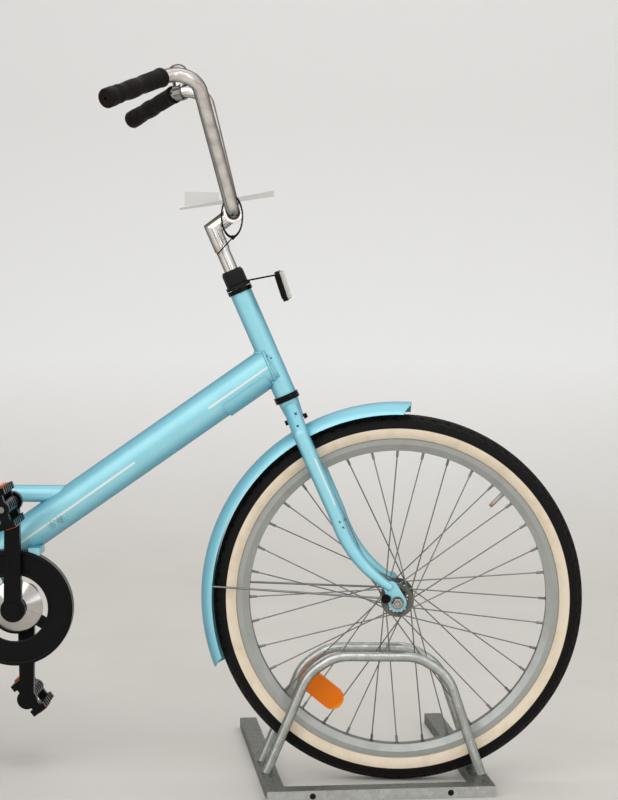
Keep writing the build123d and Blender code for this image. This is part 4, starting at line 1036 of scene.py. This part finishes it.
@dataclass
class FrontEnd(Assembly):
    """Fork, cockpit, mudguard and their small parts, all on the body that steers."""

    COATS = {
        FORK_PAINT: ("fork",),
        PAINT: ("front_mudguard",),
        BLACK_STEEL: ("headset_race", "reflector_bracket"),
        BLACK_PLASTIC: ("front_reflector",),
        CAP_PLASTIC: ("headset_nut",),
        CLEAR_LENS: ("front_reflector_lens",),
        ALLOY: ("stem", "handlebar"),
        CHROME: ("bell",),
        ZINC_WIRE: ("front_axle", "front_mudguard_stays"),
    }

    def build(self) -> None:
        """Builds the grips, the bolts and the small parts on the stem."""
        self.build_grip(
            Side.RIGHT, Vector((-0.3611, -0.2006, 1.1303)), Vector((-0.4332, -0.2964, 1.0950))
        )
        self.build_grip(
            Side.LEFT, Vector((-0.3779, 0.2030, 1.1230)), Vector((-0.4576, 0.2910, 1.0843))
        )
        self.build_fork_bolts()
        self.build_stay_bolts()
        self.build_axle_nuts()
        self.build_tie()
        self.build_tag()
        self.build_stem_rings()
        self.build_valve_tip()

    def build_grip(self, side: Side, front: Vector, back: Vector) -> None:
        """Builds one grip: end rings, ribs, a swelling and oval pads.

        Args:
            side: which side it is on.
            front: middle of its open end.
            back: middle of its closed end.
        """
        wide_rib = ((13.7, 0), (14.3, 0.8), (14.3, 3.2), (13.7, 4))
        slim_rib = ((13.9, 0), (14.6, 0.7), (14.6, 2.5), (13.9, 3.2))
        outline = [(11.2, 0), (14.8, 0), (15.3, 1), (15.3, 5), (14.6, 6), (13.6, 9)]
        outline += [(reach, start + run) for start in range(12, 47, 5) for reach, run in wide_rib]
        outline += [(13.6, 49), (13.8, 58), (14.0, 72), (13.9, 86), (13.6, 96)]
        outline += [(reach, start + run) for start in range(98, 110, 4) for reach, run in slim_rib]
        outline += [(14.2, 111), (15.3, 113)]
        tail = (back - front).length / MM
        outline += [(15.3, tail + 2.5), (14.4, tail + 4.4), (12.0, tail + 4.9), (3.2, tail + 4.9)]
        outline += [(2.9, tail + 4.6), (2.9, tail + 1.0), (0.01, tail + 0.9)]
        place = aimed(front, back - front, Vector((0.0, side.value, 0.35)))
        draft = Draft()
        draft.lathe(outline, place, 40)
        self.add_pads(draft, place)
        node = f"grip_{side.name.lower()}"
        draft.finish(f"{node}_ribbed", "front_end", "black_rubber", BLACK_RUBBER, (node,))

    def add_pads(self, draft: Draft, place: Matrix) -> None:
        """Adds the oval pads round the grip's middle.

        Args:
            draft: the grip's drawing.
            place: the grip's placing.
        """
        pads = 3
        middle = Matrix.Translation((8.8 * MM, 0, 72 * MM))
        flat = Matrix.Diagonal((6.5 * MM, 11.0 * MM, 26.0 * MM, 1.0))
        for index in range(pads):
            turn = Matrix.Rotation(index * FULL_TURN / pads, 4, "Z")
            bmesh.ops.create_uvsphere(
                draft.mesh,
                u_segments=24,
                v_segments=12,
                radius=1.0,
                matrix=place @ turn @ middle @ flat,
            )

    def build_fork_bolts(self) -> None:
        """Sets the two black bolts through the crown, one ahead and one behind."""
        draft = Draft()
        reach = 13 * MM
        for sense, along in ((1, -34 * MM), (-1, -33 * MM)):
            seat = RACE_BOTTOM + STEER_UP * along + STEER_AHEAD * (sense * reach)
            draft.bolt(aimed(seat, STEER_AHEAD * sense), 8 * MM, 5 * MM, 5.5 * MM)
        draft.finish("crown_bolts", "front_end", "black_steel", BLACK_STEEL)

    def build_stay_bolts(self) -> None:
        """Sets the black bolts that hold the mudguard's stays."""
        draft = Draft()
        for side in Side:
            seat = Vector((STAY_BOLT.x, side.value * STAY_BOLT.y, STAY_BOLT.z))
            draft.bolt(aimed(seat, TO_LEFT * side.value), 10 * MM, 3 * MM, 7.4 * MM)
        draft.finish("stay_bolts", "front_end", "black_steel", BLACK_STEEL)

    def build_axle_nuts(self) -> None:
        """Sets a flanged, chamfered nut and the turned end of the axle on each side."""
        draft = Draft()
        flange, nut, chamfer = (10.4, 1.6, 32, 0.94), (9.3, 8.0, 6, 1.0), (9.3, 1.5, 6, 0.80)
        axle_end = (5.0, 2.6, 20, 0.78)
        for side in Side:
            outward = TO_LEFT * side.value
            place = aimed(FRONT_AXLE + outward * NUT_SEAT, outward)
            for radius, height, sides, tip in (flange, nut, chamfer, axle_end):
                draft.barrel(radius * MM, height * MM, place, sides, tip)
                place = place @ Matrix.Translation((0, 0, height * MM))
        draft.finish("axle_nuts", "front_end", "zinc_wire", NUT)

    def build_tie(self) -> None:
        """Loops a black cable tie round the bar, with its head and tail hanging below."""
        draft = Draft()
        middle = Vector((-0.2663, -0.0265, 0.9185))
        loop = aimed(middle, Vector((0.06, 1.0, 0.05)))
        tall = loop @ Matrix.Diagonal((1.95, 1.0, 1.0, 1.0))
        band = [(15.8, -1.8), (18.0, -1.8), (18.0, 1.8), (15.8, 1.8)]
        draft.lathe(band, tall, 40, closed=True)
        head = Vector((-0.2649, -0.0265, 0.8850))
        slope = Vector((-0.68, -0.02, -0.73))
        draft.block((6.5 * MM, 5 * MM, 6 * MM), aimed(head, slope))
        draft.block((2.0 * MM, 3.2 * MM, 38 * MM), aimed(head + slope * 17 * MM, slope))
        draft.finish("cable_tie", "front_end", "black_plastic", BLACK_PLASTIC)

    def build_tag(self) -> None:
        """Lays a blank folded card on the bar, seen almost edge-on, its strip in painted shade and
        its flap in painted light.
        """
        strip = (
            (-0.3497, -0.022, 0.9285),
            (-0.1992, -0.022, 0.9500),
            (-0.2027, 0.038, 0.9601),
            (-0.3569, 0.038, 0.9315),
        )
        flap = (
            (-0.3477, 0.039, 0.9345),
            (-0.2916, 0.039, 0.9440),
            (-0.2915, 0.042, 0.9569),
            (-0.3477, 0.042, 0.9585),
        )
        for name, corners, finish in (("blank_tag", strip, CARD), ("tag_flap", flap, CARD_IN_PAINTED_LIGHT)):
            draft = Draft()
            draft.leaf(corners, 0.4 * MM)
            draft.finish(name, "front_end", "", finish)

    def build_stem_rings(self) -> None:
        """Scribes the two depth marks round the stem."""
        draft = Draft()
        line = [(10.9, -0.35), (11.15, 0.0), (10.9, 0.35)]
        for mark in (Vector((-0.2870, 0.0, 0.8790)), Vector((-0.2825, 0.0, 0.8612))):
            draft.lathe(line, aimed(mark, STEER_UP), 40, closed=True)
        draft.finish("stem_marks", "front_end", "black_steel", BLACK_STEEL)

    def build_valve_tip(self) -> None:
        """Caps the front valve with its bare brass end."""
        draft = Draft()
        outward = (AHEAD + UP).normalized()
        length, reach = 11 * MM, 0.2225
        foot = FRONT_AXLE + outward * (reach - length)
        draft.barrel(2.9 * MM, length, aimed(foot, outward), 16)
        draft.finish("valve_tip", "front_wheel", "zinc_wire", BRASS)


@dataclass
class Rack(Assembly):
    """The galvanised floor rack."""

    COATS = {ZINC: ("rack_base", "rack_hoops")}


@dataclass
class MainFrame(Assembly):
    """Frame, headset, seat, chain, carrier and rear mudguard."""

    RIPPLES = 60
    COATS = {
        FRAME_PAINT: ("frame",),
        PAINT: ("rear_mudguard",),
        BLACK_STEEL: ("headset_cups", "saddle_frame", "carrier", "kickstand_bracket"),
        CHROME: ("seat_post", "seat_clamp"),
        CHAIN_STEEL: ("bottom_bracket_cups", "chain"),
        BLACK_PLASTIC: ("chain_guard",),
        ZINC_WIRE: ("rear_axle", "coaster_arm", "rear_mudguard_stays"),
        BLACK_RUBBER: ("saddle_springs",),
        RED_LENS: ("rear_reflector",),
    }

    def build(self) -> None:
        """Builds the weld bead and the saddle."""
        self.build_welds()
        Saddle(self.nodes).build()

    def build_welds(self) -> None:
        """Runs a rippled bead round the main tube's foot on the head tube."""
        draft = Draft()
        along = Vector((-math.cos(MAIN_TUBE_ANGLE), 0, -math.sin(MAIN_TUBE_ANGLE)))
        upward = Vector((-math.sin(MAIN_TUBE_ANGLE), 0, math.cos(MAIN_TUBE_ANGLE)))
        for index in range(self.RIPPLES):
            turn = FULL_TURN * index / self.RIPPLES
            rim = (upward * math.cos(turn) + TO_LEFT * math.sin(turn)) * MAIN_TUBE_RADIUS
            side = min(abs(rim.y), HEAD_TUBE_RADIUS - 0.5 * MM)
            wall = math.sqrt(HEAD_TUBE_RADIUS ** 2 - side ** 2)
            run = (-wall - rim.dot(STEER_AHEAD)) / along.dot(STEER_AHEAD)
            spot = Matrix.Translation(MAIN_TUBE_HEAD + rim + along * run)
            bmesh.ops.create_icosphere(draft.mesh, subdivisions=2, radius=2.6 * MM, matrix=spot)
        draft.finish("main_tube_weld", "frame", "turquoise_paint", PAINT)


@dataclass
class Saddle(Assembly):
    """The padded saddle, domed and dipped out of the plain block of its cover."""

    voxel: float = 5 * MM
    dip: float = 0.30
    camber: float = 0.22
    flare: float = 0.10

    def build(self) -> None:
        """Puts the shaped cushion in the place of the plain block."""
        cover = placed("padded_saddle", self.nodes["saddle_cover"].data.copy())
        self.shape(cover)
        data = cover.data
        data.materials.clear()
        data.materials.append(VINYL.material())
        data.shade_smooth()
        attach(cover, "frame")
        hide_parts("saddle_cover")
        log.info("piece %s: %d faces", cover.name, len(data.polygons))

    def shape(self, cover: bpy.types.Object) -> None:
        """Remeshes the block evenly and draws it in to a saddle's domed form.

        Args:
            cover: the saddle's object.
        """
        remesh = cover.modifiers.new("even", "REMESH")
        remesh.mode = "VOXEL"
        remesh.voxel_size = self.voxel
        smooth = cover.modifiers.new("soften", "SMOOTH")
        smooth.iterations = 14
        smooth.factor = 0.5
        depsgraph = bpy.context.evaluated_depsgraph_get()
        cover.data = bpy.data.meshes.new_from_object(cover.evaluated_get(depsgraph))
        cover.modifiers.clear()
        low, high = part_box("saddle_cover")
        for vert in cover.data.vertices:
            vert.co = self.draw_in(vert.co, low, high)

    def draw_in(self, spot: Vector, low: Vector, high: Vector) -> Vector:
        """Moves one point of the block onto the saddle's form.

        Args:
            spot: the point.
            low: the block's lowest corner.
            high: the block's highest corner.

        Returns:
            The moved point.
        """
        length = (spot.x - low.x) / (high.x - low.x)
        height = (spot.z - low.z) / (high.z - low.z)
        width = 2 * spot.y / (high.y - low.y)
        dip = self.dip * math.sin(math.pi * min(max(length, 0.0), 1.0)) ** 2
        crown = 1.0 - dip - self.camber * width ** 2
        lifted = low.z + (high.z - low.z) * height * crown
        return Vector((spot.x, spot.y * (1.0 - self.flare * height), lifted))


@dataclass
class Drive(Assembly):
    """Cranks, chainring with its cover, pedals, rear sprocket and kickstand."""

    COATS = {
        BLACK_STEEL: ("crank_right", "crank_left", "chainring"),
        CHAIN_STEEL: ("crank_spindle", "rear_sprocket"),
        CHROME: ("crank_cover",),
        ZINC_WIRE: ("pedal_axles", "kickstand_leg"),
        BLACK_PLASTIC: ("pedal_right", "pedal_left"),
        PEDAL_AMBER: ("pedal_right_reflectors", "pedal_left_reflectors"),
        BLACK_RUBBER: ("kickstand_foot",),
    }

    def build(self) -> None:
        """Builds the raised edges of the chain guard."""
        draft = Draft()
        face = aimed(BRACKET - TO_LEFT * (60 * MM), -TO_LEFT)
        bead = [(-2.2, -0.3), (-1.6, 0.8), (0, 1.4), (1.6, 0.8), (2.2, -0.3)]
        for reach in (56.5, 90.0):
            outline = [(reach + across, height) for across, height in bead]
            draft.lathe(outline, face, 96, closed=True)
        draft.finish("guard_beads", "frame", "black_plastic", BLACK_PLASTIC)


@dataclass
class Studio:
    """Camera, ground and soft lights of the photo."""

    lens: float = 106.74
    sensor: float = 36.0
    camera_spot: tuple[float, float, float] = (-0.021, -3.826, 0.938)
    camera_turn_deg: tuple[float, float, float] = (85.28, 0.0, 1.84)
    sky_strength: float = 0.74
    lit_spot: tuple[float, float, float] = (-0.25, 0.0, 0.45)

    def build(self) -> None:
        """Sets the camera, the ground and the lights."""
        self.set_camera()
        self.set_ground()
        self.set_lights()

    def set_camera(self) -> None:
        """Puts the camera where the photo was taken from."""
        data = bpy.data.cameras.new("camera")
        data.lens = self.lens
        data.sensor_width = self.sensor
        data.sensor_fit = "AUTO"
        data.clip_end = 60.0
        camera = placed("camera", data)
        camera.location = self.camera_spot
        camera.rotation_euler = [math.radians(turn) for turn in self.camera_turn_deg]
        bpy.context.scene.camera = camera
        bpy.context.scene.view_settings.view_transform = "Standard"

    def set_ground(self) -> None:
        """Lays a pale floor that curves up into the wall."""
        near, far, half, top, bend, arc = -7.0, 1.9, 9.0, 6.0, 1.2, 24
        line = [(near, 0.0), (far, 0.0)]
        for index in range(1, arc + 1):
            turn = math.pi / 2 * index / arc
            line.append((far + bend * math.sin(turn), bend * (1 - math.cos(turn))))
        line.append((far + bend, top))
        mesh = bmesh.new()
        corners = [mesh.verts.new((-half, along, height)) for along, height in line]
        edges = [mesh.edges.new(pair) for pair in zip(corners, corners[1:])]
        drawn = bmesh.ops.extrude_edge_only(mesh, edges=edges)["geom"]
        moved = [item for item in drawn if isinstance(item, bmesh.types.BMVert)]
        bmesh.ops.translate(mesh, verts=moved, vec=(2 * half, 0, 0))
        mesh.normal_update()
        if sum(face.normal.z - face.normal.y for face in mesh.faces) < 0:
            bmesh.ops.reverse_faces(mesh, faces=mesh.faces[:])
        data = bpy.data.meshes.new("ground")
        mesh.to_mesh(data)
        mesh.free()
        data.materials.append(STUDIO.material())
        data.shade_smooth()
        placed("ground", data)

    def set_lights(self) -> None:
        """Hangs large soft lights over and beside the bicycle, under an even sky."""
        world = bpy.data.worlds.new("sky")
        world.use_nodes = True
        Sky(world, self.sky_strength)
        bpy.context.scene.world = world
        self.hang("key", Vector((-1.5, -3.2, 2.6)), 4.4, 84.0)
        self.hang("side", Vector((2.6, -2.2, 2.2)), 3.4, 28.0)
        self.hang("back", Vector((0.2, 1.4, 3.4)), 3.6, 30.0)

    def hang(self, name: str, spot: Vector, size: float, power: float) -> None:
        """Hangs one square light that faces the bicycle.

        Args:
            name: the light's name.
            spot: where it hangs.
            size: its width.
            power: its power in watts.
        """
        data = bpy.data.lights.new(name, "AREA")
        data.shape = "SQUARE"
        data.size = size
        data.energy = power
        lamp = placed(name, data)
        lamp.location = spot
        aim = Vector(self.lit_spot) - spot
        lamp.rotation_euler = aim.to_track_quat("-Z", "Y").to_euler()


def main() -> None:
    """Builds the whole scene."""
    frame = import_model()
    Studio().build()
    nodes = frame["nodes"]
    rear = Wheel(nodes, "rear", REAR_AXLE)
    for part in (Wheel(nodes), rear, FrontEnd(nodes), Rack(nodes), MainFrame(nodes), Drive(nodes)):
        part.build()
        part.dress()


if __name__ == "__main__":
    main()
